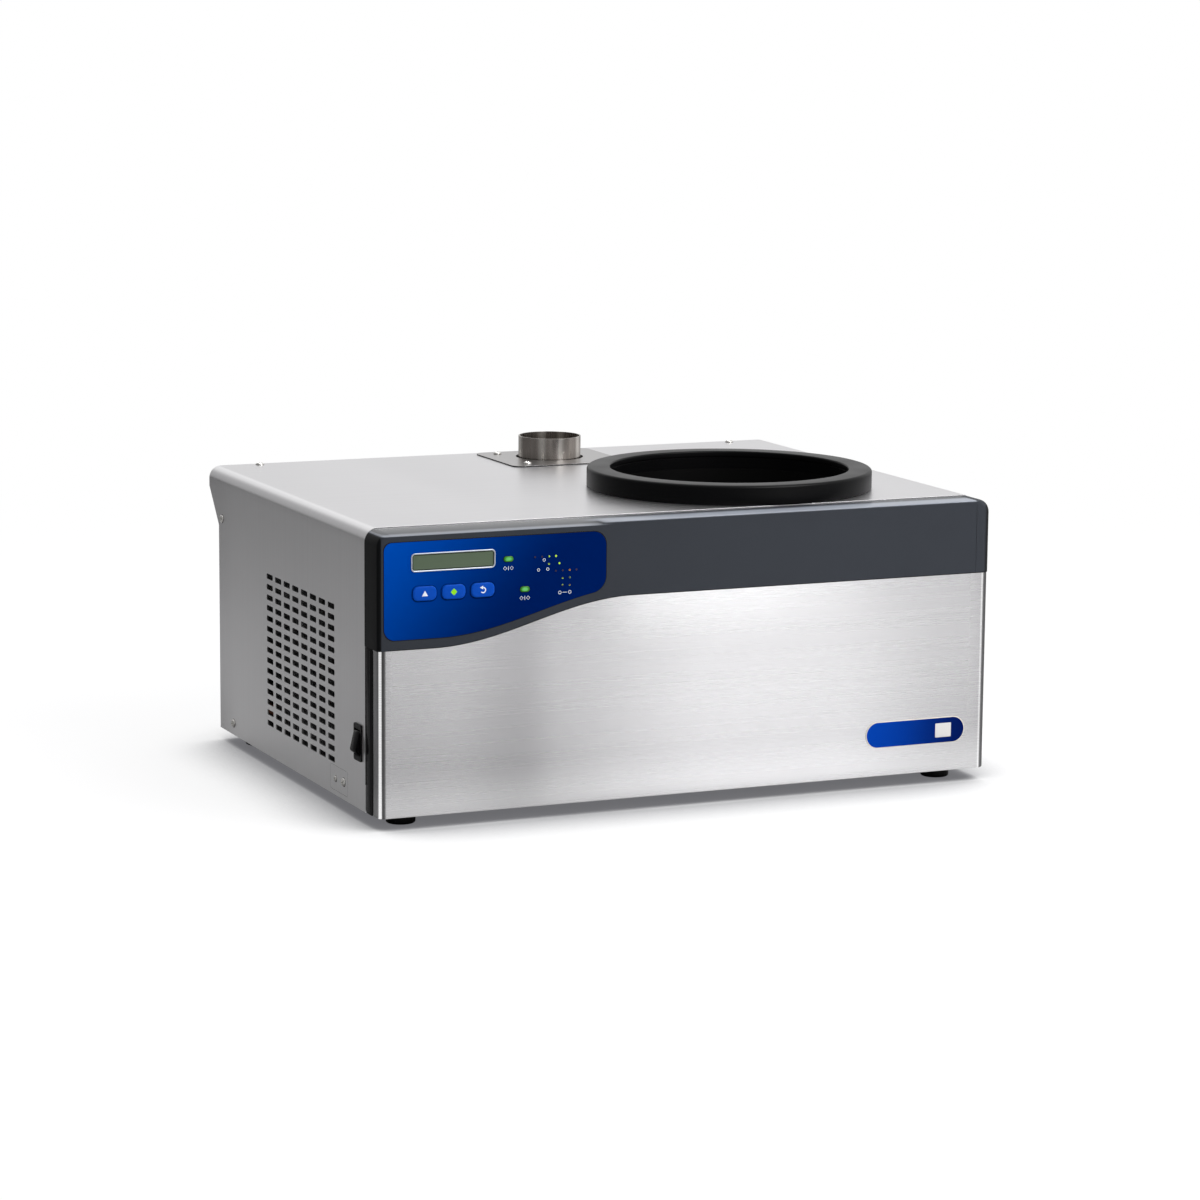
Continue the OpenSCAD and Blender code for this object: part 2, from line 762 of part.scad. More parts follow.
// Frame and box of the mains switch, open to the side, with bores for the rocker's pins
module switch_housing() color("black") difference() {
    union() {
        along_x(left_x - switch_proud, left_x) at(switch_y, switch_z) round_box(switch_w, switch_h, 2.5);
        along_x(left_x, left_x + switch_depth) at(switch_y, switch_z)
            square([switch_w - 2.4, switch_h - 4.6], center = true);
    }
    along_x(left_x - switch_proud - 1, left_x + switch_depth - 2) at(switch_y, switch_z)
        square([rocker_w + 2 * rocker_gap, rocker_h + 2 * rocker_gap], center = true);
    rod_y([rocker_pivot_x, switch_y - rocker_w / 2 - 2.2, switch_z], rocker_w + 4.4, rocker_pin_r + 0.05);
}

// Side profile of the rocker about its pivot: a flat face between two round ends, the upper one pressed in
module rocker_profile() {
    half = concat([[9, 2], [7, 11.5], [3, 15.2], [-1.5, rocker_h / 2]], arc([-3.7, 9.6], 5.1, 100, 180, 6));
    rotate(-rocker_swing / 2) polygon(concat(half, flip([for (p = half) [p[0], -p[1]]])));
}

module switch_rocker() color("black") translate([rocker_pivot_x, 0, switch_z]) {
    along_y(switch_y - rocker_w / 2, switch_y + rocker_w / 2) rocker_profile();
    rod_y([0, switch_y - rocker_w / 2 - 1.2, 0], rocker_w + 2.4, rocker_pin_r);
}

// ---------- Collector ----------

module at_chamber(z) { translate([chamber_x, chamber_y, z]) children(); }

// Places children at the port, with X along the cross pipe towards the chamber
module at_cross() { translate([port_x, port_y, cross_z]) rotate([0, 0, cross_angle]) children(); }

module collar_gasket() color("black") at_chamber(case_h) difference() {
    rotate_extrude($fn = 128) at((collar_r + collar_in_r) / 2, collar_h / 2)
        round_box(collar_r - collar_in_r, collar_h, 4);
    // Seat for the chamber's lip, and the groove inside the rim
    translate([0, 0, -1]) cylinder(h = 3.2, r = chamber_lip_r + 0.3, $fn = 128);
    rotate_extrude($fn = 128) at(collar_in_r - 2, collar_h - 9) square([4, 2.5]);
}

module chamber() color("lightsteelblue") difference() {
    at_chamber(0) union() {
        rotate_extrude($fn = 128) {
            at(chamber_r, chamber_floor_z) square([chamber_t, case_h + 2 - chamber_floor_z]);
            at(chamber_r, case_h) square([chamber_lip_r - chamber_r, 2]);
            polygon([
                [drain_r, chamber_floor_z - chamber_dish], [chamber_out_r, chamber_floor_z],
                [chamber_out_r, chamber_floor_z + chamber_t],
                [drain_r, chamber_floor_z + chamber_t - chamber_dish]
            ]);
        }
    }
    at_cross() rod_x([0, 0, 0], cross_len - chamber_r / 2, cross_r - 2);
    rod_y([outlet_x, chamber_y, outlet_z], 200, outlet_bore);
    rod_x([chamber_x - 200, chamber_y, tail_z], 200, capillary_r + gap);
    rod_x([chamber_x - 200, chamber_y, suction_z], 200, suction_r + gap);
}

module chamber_insulation() color("khaki") difference() {
    at_chamber(foam_z0) difference() {
        cylinder(h = foam_z1 - foam_z0, r = foam_r);
        translate([0, 0, chamber_floor_z - chamber_dish - foam_z0 - 1])
            cylinder(h = tall, r = chamber_out_r + gap);
        translate([0, 0, -1]) cylinder(h = 100, r = 15);
    }
    at_cross() rod_x([0, 0, 0], cross_len - chamber_r / 2, cross_r + gap);
    rod_y([outlet_x, chamber_y, outlet_z], 300, vacuum_r + gap);
    rod_x([chamber_x - 250, chamber_y, tail_z], 250, capillary_r + gap);
    rod_x([chamber_x - 250, chamber_y, suction_z], 250, suction_r + gap);
}

// One helical tube wound up the inside of the chamber wall
function coil_point(i, j) =
    let (
        turn = 360 * i / coil_steps,
        side = 360 * j / coil_sides,
        r = coil_r + coil_tube_r * cos(side)
    )
    [-r * cos(turn), r * sin(turn), coil_pitch * i / coil_steps + coil_tube_r * sin(side)];

module evaporator_coil() color("silver") at_chamber(tail_z) {
    rings = round(coil_steps * coil_turns);
    polyhedron(
        points = [for (i = [0:rings], j = [0:coil_sides - 1]) coil_point(i, j)],
        faces = concat(
            [[for (j = [0:coil_sides - 1]) j]],
            [
                for (i = [0:rings - 1], j = [0:coil_sides - 1])
                    let (k = (j + 1) % coil_sides, a = i * coil_sides)
                    [a + j, a + coil_sides + j, a + coil_sides + k, a + k]
            ],
            [[for (j = [coil_sides - 1:-1:0]) rings * coil_sides + j]]
        )
    );
}

module coil_supports() color("gray") at_chamber(0) for (a = [30, 150, 270]) rotate([0, 0, a])
    translate([coil_r - coil_tube_r - support_t - 1.1, -support_w / 2, chamber_floor_z + chamber_t])
        cube([support_t, support_w, support_h]);

module drain_fitting() color("goldenrod") difference() {
    union() {
        at_chamber(drain_z - 9) cylinder(h = chamber_floor_z - chamber_dish - drain_z + 9, r = 9);
        at_chamber(chamber_floor_z - chamber_dish - 3) cylinder(h = 3, r = 13);
        rod_x([chamber_x, chamber_y, drain_z], 34, barb_r);
    }
    at_chamber(drain_z) cylinder(h = 100, r = 5);
    rod_x([chamber_x, chamber_y, drain_z], 60, 5);
}

module drain_hose() color("whitesmoke") {
    path = [
        [chamber_x + 10, chamber_y, drain_z], [drain_x, chamber_y, drain_z], [drain_x, step_y - 10, drain_z]
    ];
    difference() {
        pipe(path, hose_r, 30);
        pipe(path, hose_bore, 30);
    }
}

module drain_barb() color("goldenrod") difference() {
    union() {
        rod_y([drain_x, step_y - 30, drain_z], 30 - sheet, barb_r);
        rod_y([drain_x, step_y - sheet, drain_z], 4, barb_r);
        rod_y([drain_x, step_y, drain_z], 5, 13);
        rod_y([drain_x, step_y, drain_z], 30.5, tail_r);
    }
    rod_y([drain_x, step_y - 40, drain_z], 90, 4.5);
}

// ---------- Vacuum port and outlet ----------

module port_screw_places() for (sx = [-1, 1], sy = [-1, 1])
    translate([port_plate_x + sx * port_screw_dx, port_plate_y + sy * port_screw_dy, case_h + sheet])
        children();

module port_tube() color("silver") difference() {
    union() {
        rod_z([port_x, port_y, port_foot_z], port_foot_top - port_foot_z, port_foot_r);
        rod_z([port_x, port_y, port_foot_z], case_h + port_h - port_foot_z, port_r);
    }
    rod_z([port_x, port_y, port_foot_z + 2], 300, port_r - port_t);
    at_cross() rod_x([0, 0, 0], 60, cross_r - 2);
}

module port_plate() color("silver") difference() {
    along_z(case_h, case_h + sheet) at(port_plate_x, port_plate_y) round_box(port_plate_w, port_plate_d, 14);
    rod_z([port_x, port_y, case_h - 1], 5, port_hole_r);
    port_screw_places() rod_z([0, 0, -4], 6, 2 + drill);
}

module port_screws() color("lightgray") port_screw_places() screw(4.6, 2, 7);

module cross_pipe() color("silver") difference() {
    at_cross() rod_x([0, 0, 0], cross_len, cross_r);
    at_cross() rod_x([-1, 0, 0], cross_len + 2, cross_r - 2);
    rod_z([port_x, port_y, cross_z - 60], 120, port_foot_r);
    at_chamber(cross_z - 60) cylinder(h = 120, r = chamber_out_r);
}

module vacuum_line() color("silver") difference() {
    rod_y([outlet_x, chamber_y, outlet_z], outlet_join_y - chamber_y, vacuum_r);
    rod_y([outlet_x, chamber_y - 1, outlet_z], 400, outlet_bore);
    at_chamber(outlet_z - 40) cylinder(h = 80, r = chamber_out_r);
    rod_z([outlet_x, sensor_y, outlet_z], 40, 4);
}

module vacuum_outlet() color("silver") difference() {
    union() {
        rod_y([outlet_x, outlet_join_y, outlet_z], step_y + 4 - outlet_join_y, vacuum_r);
        rod_y([outlet_x, step_y, outlet_z], 4, outlet_r + 8);
        rod_y([outlet_x, step_y, outlet_z], 36, outlet_r);
    }
    rod_y([outlet_x, outlet_join_y - 1, outlet_z], 80, outlet_bore);
}

module vacuum_sensor() color("dimgray") difference() {
    union() {
        rod_z([outlet_x, sensor_y, outlet_z], 40, 6);
        rod_z([outlet_x, sensor_y, outlet_z + 32], 52, 16);
    }
    rod_y([outlet_x, sensor_y - 30, outlet_z], 60, vacuum_r);
    rod_z([outlet_x, sensor_y, outlet_z], 36, 4);
}

// ---------- Refrigeration ----------

// Half profile of the hermetic shell: a can with rounded ends
module can_profile(r, h, c) {
    square([r - c, h]);
    at(0, c) square([r, h - 2 * c]);
    for (z = [c, h - c]) at(r - c, z) circle(c);
}

module compressor() color("black") {
    translate([comp_x, comp_y, comp_z0]) {
        rotate_extrude() intersection() {
            square([comp_r + 1, comp_z1 - comp_z0]);
            can_profile(comp_r, comp_z1 - comp_z0, comp_round);
        }
        translate([0, 0, 88]) cylinder(h = 6, r = comp_r + 4);
    }
    difference() {
        along_z(comp_z0, comp_z0 + 3) at(comp_x, comp_y)
            round_box(2 * comp_foot_x + 34, 2 * comp_foot_y + 34, 12);
        for (sx = [-1, 1], sy = [-1, 1])
            rod_z([comp_x + sx * comp_foot_x, comp_y + sy * comp_foot_y, comp_z0 - 1], 6, 8);
    }
    rod_z([discharge_stub[0], discharge_stub[1], comp_z1 - 20], 30, line_r + 2.5);
    rod_z([suction_stub[0], suction_stub[1], comp_z1 - 20], 30, suction_r + 2);
}

module compressor_grommets() color("dimgray")
    for (sx = [-1, 1], sy = [-1, 1])
        translate([comp_x + sx * comp_foot_x, comp_y + sy * comp_foot_y, pan_floor])
        difference() {
            union() {
                cylinder(h = comp_z0 - pan_floor, r = 13);
                cylinder(h = comp_z0 - pan_floor + 3, r = 7.9);
                translate([0, 0, comp_z0 - pan_floor + 3]) cylinder(h = 4, r = 13);
            }
            translate([0, 0, -1]) cylinder(h = 40, r = 4);
        }

module compressor_cover() color("black") difference() {
    wall = 2;
    front = comp_y - comp_r - 34;
    translate([comp_x - terminal_w / 2, front, terminal_z]) cube([terminal_w, terminal_w, terminal_h]);
    rod_z([comp_x, comp_y, terminal_z - 30], terminal_h + 80, comp_r + 4.2);
    translate([comp_x - terminal_w / 2 + wall, front + wall, terminal_z + wall])
        cube([terminal_w - 2 * wall, terminal_w, terminal_h - 2 * wall]);
}

function row_z(i) = condenser_row_z + i * condenser_pitch;
top_row_z = row_z(condenser_rows - 1);

// Serpentine of straight runs and half-round returns
module condenser_coil() color("peru") {
    y0 = condenser_y0 + 4;
    y1 = condenser_y1 - 4;
    for (i = [0:condenser_rows - 1]) {
        tail = (i == 0 || i == condenser_rows - 1) ? 12 : 0;
        rod_y([condenser_tube_x, y0, row_z(i)], y1 - y0 + tail, condenser_tube_r);
    }
    for (i = [0:condenser_rows - 2]) {
        front = i % 2 == 0;
        translate([condenser_tube_x, front ? y0 : y1, row_z(i) + condenser_pitch / 2])
            rotate([90, 0, 90]) rotate([0, 0, front ? 90 : -90])
                rotate_extrude(angle = 180) at(condenser_pitch / 2, 0) circle(condenser_tube_r, $fn = 32);
    }
}

module condenser_fins() color("lightgray") {
    room = condenser_y1 - condenser_y0 - 40;
    for (i = [0:fin_count - 1]) {
        end = i == 0 || i == fin_count - 1;
        t = end ? 2 : fin_t;
        y = condenser_y0 + 20 + room * i / (fin_count - 1);
        along_y(y - t / 2, y + t / 2) difference() {
            at(condenser_x0, condenser_z0) square([condenser_w, condenser_z1 - condenser_z0]);
            for (k = [0:condenser_rows - 1])
                at(condenser_tube_x, row_z(k)) circle(condenser_tube_r + 0.05, $fn = 32);
        }
    }
}

module fan_shroud() color("black") difference() {
    union() {
        translate([shroud_x, condenser_y0, pan_floor])
            cube([shroud_t, condenser_y1 - condenser_y0, condenser_z1 - pan_floor]);
        rod_x([shroud_x, fan_y, fan_z], 16, fan_r + 5);
    }
    rod_x([shroud_x - 1, fan_y, fan_z], 20, fan_r + 3.5);
}

// Strap that carries the motor: a bar between two legs that stand on the shroud
module fan_bracket() color("gray") {
    back = motor_x0 + motor_l;
    translate([back, fan_y - 9, fan_z - fan_r - 16]) cube([2, 18, 2 * fan_r + 32]);
    for (z = [fan_z - fan_r - 16, fan_z + fan_r + 14])
        translate([shroud_x + shroud_t, fan_y - 9, z]) cube([back - shroud_x - shroud_t, 18, 2]);
}

module fan_motor() color("dimgray") difference() {
    union() {
        rod_x([motor_x0, fan_y, fan_z], motor_l, motor_r);
        rod_x([motor_x0 - 5, fan_y, fan_z], 6, 12);
    }
    rod_x([motor_x0 - 6, fan_y, fan_z], 26, shaft_r + 0.05);
}

module fan_shaft() color("lightgray")
    rod_x([fan_x - 2, fan_y, fan_z], motor_x0 + 18 - fan_x + 2, shaft_r);

module fan_blade() color("lightgray") difference() {
    union() {
        rod_x([fan_x, fan_y, fan_z], fan_depth, 19);
        intersection() {
            rod_x([fan_x, fan_y, fan_z], fan_depth, fan_r);
            translate([fan_x + fan_depth / 2, fan_y, fan_z])
                for (i = [0:fan_blades - 1]) rotate([360 * i / fan_blades, 0, 0])
                    translate([0, 0, 14]) rotate([0, 0, 32]) translate([-1, -32, 0]) cube([2, 64, fan_r]);
        }
    }
    rod_x([fan_x - 1, fan_y, fan_z], fan_depth + 2, shaft_r);
}

module filter_drier() color("peru") {
    translate([drier_x, drier_y0, drier_z]) rotate([-90, 0, 0]) rotate_extrude() intersection() {
        square([drier_r + 1, drier_y1 - drier_y0]);
        can_profile(drier_r, drier_y1 - drier_y0, 10);
    }
}

module discharge_line() color("peru") pipe([
    [condenser_tube_x, condenser_y1 + 8, top_row_z],
    [condenser_tube_x, discharge_stub[1], top_row_z],
    [discharge_stub[0], discharge_stub[1], top_row_z],
    [discharge_stub[0], discharge_stub[1], comp_z1 + 10]
], line_r, 12);

module liquid_line() color("peru") pipe([
    [condenser_tube_x, condenser_y1 + 8, row_z(0)], [condenser_tube_x, liquid_y, row_z(0)],
    [drier_x, liquid_y, row_z(0)], [drier_x, drier_y1, row_z(0)]
], line_r, 12);

module capillary_tube() color("peru") pipe([
    [drier_x, drier_y0, drier_z], [drier_x, drier_y0 - 25, drier_z], [drier_x, drier_y0 - 25, tail_z],
    [drier_x, chamber_y, tail_z], [chamber_x - coil_r - coil_tube_r - gap, chamber_y, tail_z]
], capillary_r, 10);

module suction_line() color("peru") pipe([
    [chamber_x - coil_r - coil_tube_r - gap, chamber_y, suction_z], [suction_x, chamber_y, suction_z],
    [suction_x, suction_stub[1], suction_z], [suction_stub[0], suction_stub[1], suction_z],
    [suction_stub[0], suction_stub[1], comp_z1 + 10]
], suction_r, 16);

// ---------- Electrical parts ----------

module electrical_box() color("gray") difference() {
    translate([box_x, box_y, pan_floor]) cube([box_w, box_d, box_h]);
    translate([box_x + box_t, box_y + box_t, pan_floor + box_t])
        cube([box_w - 2 * box_t, box_d - 2 * box_t, box_h - 2 * box_t]);
}

// Two rear sockets in one moulding plate: the mains inlet below and the pump's outlet above
module power_inlet() color("black") difference() {
    union() {
        along_y(step_y, step_y + 3) at(inlet_x, (inlet_z + pump_socket_z) / 2)
            round_box(socket_w + 10, pump_socket_z - inlet_z + socket_h + 10, 4);
        for (z = [inlet_z, pump_socket_z]) along_y(step_y - 26, step_y) at(inlet_x, z)
            square([socket_w - 10.4, socket_h - 6.4], center = true);
    }
    along_y(step_y - socket_depth, step_y + 4) at(inlet_x, inlet_z) difference() {
        round_box(30, 20, 3);
        for (p = inlet_pins) at(p[0], p[1]) square([2, 6], center = true);
    }
    for (p = inlet_pins) along_y(step_y - 5, step_y + 4) at(inlet_x + p[0], inlet_z + p[1])
        square([3, 7], center = true);
    for (p = pump_slots) along_y(step_y - socket_depth, step_y + 4)
        at(inlet_x + p[0], pump_socket_z + p[1]) square([2.4, 6.4], center = true);
}

base_pan();
cover();
rear_panel();
front_panel();
front_bezel();
bezel_end_cap();
corner_trim_left();
corner_trim_right();
foot_front_left();
foot_front_right();
foot_rear_left();
foot_rear_right();
foot_screws();
cover_screws();
rear_screws();
control_overlay();
display_frame();
display_window();
control_board();
key_up();
key_select();
key_return();
status_lamps();
mimic_lamps();
badge_plate();
badge_insert();
switch_housing();
switch_rocker();
collar_gasket();
chamber();
chamber_insulation();
evaporator_coil();
coil_supports();
drain_fitting();
drain_hose();
drain_barb();
port_tube();
port_plate();
port_screws();
cross_pipe();
vacuum_line();
vacuum_outlet();
vacuum_sensor();
compressor();
compressor_grommets();
compressor_cover();
condenser_coil();
condenser_fins();
fan_shroud();
fan_bracket();
fan_motor();
fan_shaft();
fan_blade();
filter_drier();
discharge_line();
liquid_line();
capillary_tube();
suction_line();
electrical_box();
power_inlet();
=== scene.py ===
"""Benchtop freeze dryer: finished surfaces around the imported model, with plain light and a camera.

Lengths are in millimetres until a mesh is made. X runs to the right, Y to the rear and Z up.
"""

import functools
import json
import logging
import math
from dataclasses import dataclass, replace
from enum import Enum
from typing import Any, Callable, Iterable, Sequence

import bmesh
import bpy
import numpy as np
from mathutils import Matrix, Vector

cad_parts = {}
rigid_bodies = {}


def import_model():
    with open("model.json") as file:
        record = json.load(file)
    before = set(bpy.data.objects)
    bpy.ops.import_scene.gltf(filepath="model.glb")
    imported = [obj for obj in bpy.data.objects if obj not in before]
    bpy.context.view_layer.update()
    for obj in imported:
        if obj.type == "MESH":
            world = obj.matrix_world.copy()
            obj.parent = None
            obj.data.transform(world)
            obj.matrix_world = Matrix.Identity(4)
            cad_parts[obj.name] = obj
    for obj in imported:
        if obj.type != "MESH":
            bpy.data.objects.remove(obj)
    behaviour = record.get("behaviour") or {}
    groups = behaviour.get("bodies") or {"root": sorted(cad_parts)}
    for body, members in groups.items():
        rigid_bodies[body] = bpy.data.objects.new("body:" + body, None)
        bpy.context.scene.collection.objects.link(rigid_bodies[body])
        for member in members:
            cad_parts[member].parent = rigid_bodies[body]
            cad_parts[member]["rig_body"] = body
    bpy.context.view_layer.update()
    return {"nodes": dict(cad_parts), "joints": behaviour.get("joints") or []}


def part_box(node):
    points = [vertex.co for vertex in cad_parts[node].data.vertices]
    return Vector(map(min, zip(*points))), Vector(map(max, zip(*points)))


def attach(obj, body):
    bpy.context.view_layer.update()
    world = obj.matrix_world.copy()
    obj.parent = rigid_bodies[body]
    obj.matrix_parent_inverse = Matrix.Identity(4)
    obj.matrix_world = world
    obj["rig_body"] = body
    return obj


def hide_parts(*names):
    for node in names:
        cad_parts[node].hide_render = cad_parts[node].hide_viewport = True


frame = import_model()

MM = 0.001
WELD = 2e-6
CONSOLE_Z = 306.0
SHEET = "brushed_stainless"
LOG = logging.getLogger("freeze_dryer")

Array = np.ndarray
Colour = tuple[float, float, float]
Light = tuple[float, float, float, float]
Floats = Sequence[float]
Pairs = list[tuple[float, float]]


def linear(*colour: float) -> Light:
    """The light of a screen colour from 0 to 255: the usual 2.4 power curve with its straight foot."""
    shares = [c / 255 for c in colour]
    return (*(s / 12.92 if s <= 0.04045 else ((s + 0.055) / 1.055) ** 2.4 for s in shares), 1.0)


def grey(light: float) -> Light:
    """A grey of a light from 0 to 1, with full opacity."""
    return (light, light, light, 1.0)


BLACK, WHITE = grey(0.0), grey(1.0)

# ---------- Shader expressions ----------


def operator(operation: str, swapped: bool = False) -> Callable[["Value", "Value | float"], "Value"]:
    """Makes a method that adds a Math node for two terms.

    Args:
        operation: The Math node's operation.
        swapped: Whether the other term comes first.

    Returns:
        The method.
    """

    def method(self: "Value", other: "Value | float") -> "Value":
        """The operation on this value and another."""
        return self.reckon(operation, *((other, self) if swapped else (self, other)))

    return method


class Value:
    """A number that varies over a surface: a socket that takes part in Python arithmetic."""

    def __init__(self, graph: "Graph", socket: bpy.types.NodeSocket) -> None:
        """Wraps a socket of a graph."""
        self.graph = graph
        self.socket = socket

    def reckon(self, operation: str, *terms: "Value | float") -> "Value":
        """The result of a Math node with these terms."""
        return self.graph.value("Math", dict(enumerate(terms)), operation=operation)

    __add__, __radd__ = operator("ADD"), operator("ADD", True)
    __sub__, __rsub__ = operator("SUBTRACT"), operator("SUBTRACT", True)
    __mul__, __rmul__ = operator("MULTIPLY"), operator("MULTIPLY", True)
    __truediv__ = operator("DIVIDE")
    above = operator("GREATER_THAN")
    larger = operator("MAXIMUM")
    smaller = operator("MINIMUM")

    def size(self) -> "Value":
        """The value without its sign."""
        return self.reckon("ABSOLUTE", self)

    def root(self) -> "Value":
        """The square root."""
        return self.reckon("SQRT", self)

    def ramp(self, low: float, high: float) -> "Value":
        """A smooth rise from 0 at low to 1 at high, level outside the two."""
        inputs = {"Value": self, "From Min": low, "From Max": high}
        return self.graph.value("MapRange", inputs, interpolation_type="SMOOTHSTEP")

    def hump(self, start: float, full: float, fall: float, end: float) -> "Value":
        """A smooth rise from start to full, and a smooth fall from fall to end."""
        return self.ramp(start, full) * (1.0 - self.ramp(fall, end))


class Graph:
    """A node tree that starts empty."""

    def __init__(self, tree: bpy.types.NodeTree) -> None:
        """Empties the tree."""
        self.tree = tree
        self.tree.nodes.clear()

    def add(self, kind: str, inputs: dict[Any, Any] | None = None, **settings: Any) -> bpy.types.Node:
        """Adds a node, its settings first and then its inputs.

        Args:
            kind: The node's type, without the words that all of them start with.
            inputs: Numbers, colours or links, by socket name or number.
            settings: Attributes by name.

        Returns:
            The node.
        """
        node = self.tree.nodes.new(f"ShaderNode{kind}")
        for name, setting in settings.items():
            setattr(node, name, setting)
        for key, given in (inputs or {}).items():
            self.feed(node.inputs[key], given)
        return node

    def value(self, kind: str, inputs: dict[Any, Any], **settings: Any) -> Value:
        """Adds a node and takes its first output."""
        return Value(self, self.add(kind, inputs, **settings).outputs[0])

    def feed(self, socket: bpy.types.NodeSocket, given: Any) -> None:
        """Links a value or socket to an input, or sets a plain number or colour on it.

        Args:
            socket: The input.
            given: What it gets.
        """
        source = given.socket if isinstance(given, Value) else given
        if isinstance(source, bpy.types.NodeSocket):
            self.tree.links.new(source, socket)
        else:
            socket.default_value = source

    def parts(self, vector: bpy.types.NodeSocket, scale: float = 1.0) -> tuple[Value, ...]:
        """The three parts of a vector, each times a scale."""
        split = self.add("SeparateXYZ", {0: vector})
        return tuple(Value(self, part) * scale for part in split.outputs)

    @functools.cached_property
    def place(self) -> tuple[Value, ...]:
        """The point's own X, Y and Z on the object, in millimetres."""
        return self.parts(self.add("TexCoord").outputs["Object"], 1 / MM)

    def grain(self) -> tuple[Value, ...]:
        """Millimetres along and across the brushing, from the piece's own map."""
        return self.parts(self.add("UVMap", uv_map="grain").outputs[0], 1 / MM)[:2]

    def eye(self) -> Value:
        """1 for what the camera sees directly, and 0 for light and reflections."""
        return Value(self, self.add("LightPath").outputs["Is Camera Ray"])

    def noise(self, x: Any, y: Any, z: Any, detail: float = 2.0) -> Value:
        """Soft noise from 0 to 1, of about unit size and with finer layers of detail, at a point."""
        point = self.add("CombineXYZ", {0: x, 1: y, 2: z}).outputs[0]
        return self.value("TexNoise", {"Vector": point, "Scale": 1.0, "Detail": detail})

    def marks(self, *lengths: float, detail: float = 2.0) -> Value:
        """Soft noise over the object, with marks of the given lengths along X, Y and Z."""
        return self.noise(*(part / length for part, length in zip(self.place, lengths)), detail)

    def blend(self, share: Value | float, low: Any, high: Any, mode: str = "MIX") -> bpy.types.NodeSocket:
        """A colour that goes from low to high with a share, the high one acting by the mode."""
        return self.add("Mix", {0: share, 6: low, 7: high}, data_type="RGBA", blend_type=mode).outputs[2]


class Paint(Graph):
    """The node tree of one material, with a Principled shader in it."""

    def __init__(self, name: str) -> None:
        """Makes a material of that name with a Principled shader alone.

        Args:
            name: The material's name.
        """
        self.material = bpy.data.materials.new(name)
        self.material.use_nodes = True
        super().__init__(self.material.node_tree)
        self.shader = self.add("BsdfPrincipled")
        self.add("OutputMaterial", {"Surface": self.shader.outputs[0]})

    def shade(self, **inputs: Any) -> None:
        """Sets inputs of the Principled shader, with _ for each space in a name."""
        for name, given in inputs.items():
            self.feed(self.shader.inputs[name.replace("_", " ")], given)

    def bump(self, height: Value, strength: float, depth: float) -> None:
        """Feeds the shader's normal with a relief of a depth in millimetres."""
        node = self.add("Bump", {"Strength": strength, "Distance": depth * MM, "Height": height})
        self.shade(Normal=node.outputs[0])


# ---------- Finishes ----------


@dataclass(frozen=True)
class Finish:
    """A moulded, painted or cast finish: one colour with a fine speckle and relief.

    Args:
        slot: The record's material slot.
        colour: Screen colour, 0 to 255.
        roughness: Mean roughness.
        metallic: 1 for bare metal.
        spread: How far the speckle lightens and darkens the colour.
        size: Size of the speckle.
        relief: Depth of the relief.
        gloss: Strength of the plain surface reflection.
    """

    slot: str
    colour: Colour
    roughness: float = 0.5
    metallic: float = 0.0
    spread: float = 0.08
    size: float = 1.2
    relief: float = 0.03
    gloss: float = 0.5

    def tone(self, factor: float) -> Light:
        """The colour's light times a factor."""
        light = linear(*self.colour)
        return (light[0] * factor, light[1] * factor, light[2] * factor, 1.0)

    def mottled(self, graph: Paint, share: Value) -> bpy.types.NodeSocket:
        """The colour, darker by the spread where the share is 0 and lighter by it where it is 1."""
        return graph.blend(share, self.tone(1 - self.spread), self.tone(1 + self.spread))

    def speck(self, graph: Paint) -> Value:
        """The fine speckle."""
        return graph.marks(self.size, self.size, self.size, detail=3.0)

    def base(self, graph: Paint, speck: Value) -> bpy.types.NodeSocket:
        """The colour under the speckle and soft clouds."""
        return self.mottled(graph, speck * 0.6 + graph.marks(60.0, 60.0, 60.0) * 0.4)

    def dress(self, graph: Paint) -> None:
        """Speckle over colour and roughness, and a matching relief.

        Args:
            graph: The material's node tree.
        """
        speck = self.speck(graph)
        graph.shade(
            Base_Color=self.base(graph, speck),
            Roughness=self.roughness + (graph.marks(60.0, 60.0, 60.0) - 0.5) * 0.12,
            Metallic=self.metallic,
        )
        if self.relief:
            graph.bump(speck, 0.5, self.relief)


@functools.cache
def material_of(finish: Finish) -> bpy.types.Material:
    """Makes a finish's material once.

    Args:
        finish: The finish.

    Returns:
        Its material.
    """
    graph = Paint(finish.slot if finish.slot not in bpy.data.materials else f"{finish.slot}_b")
    finish.dress(graph)
    graph.shade(Specular_IOR_Level=finish.gloss)
    return graph.material


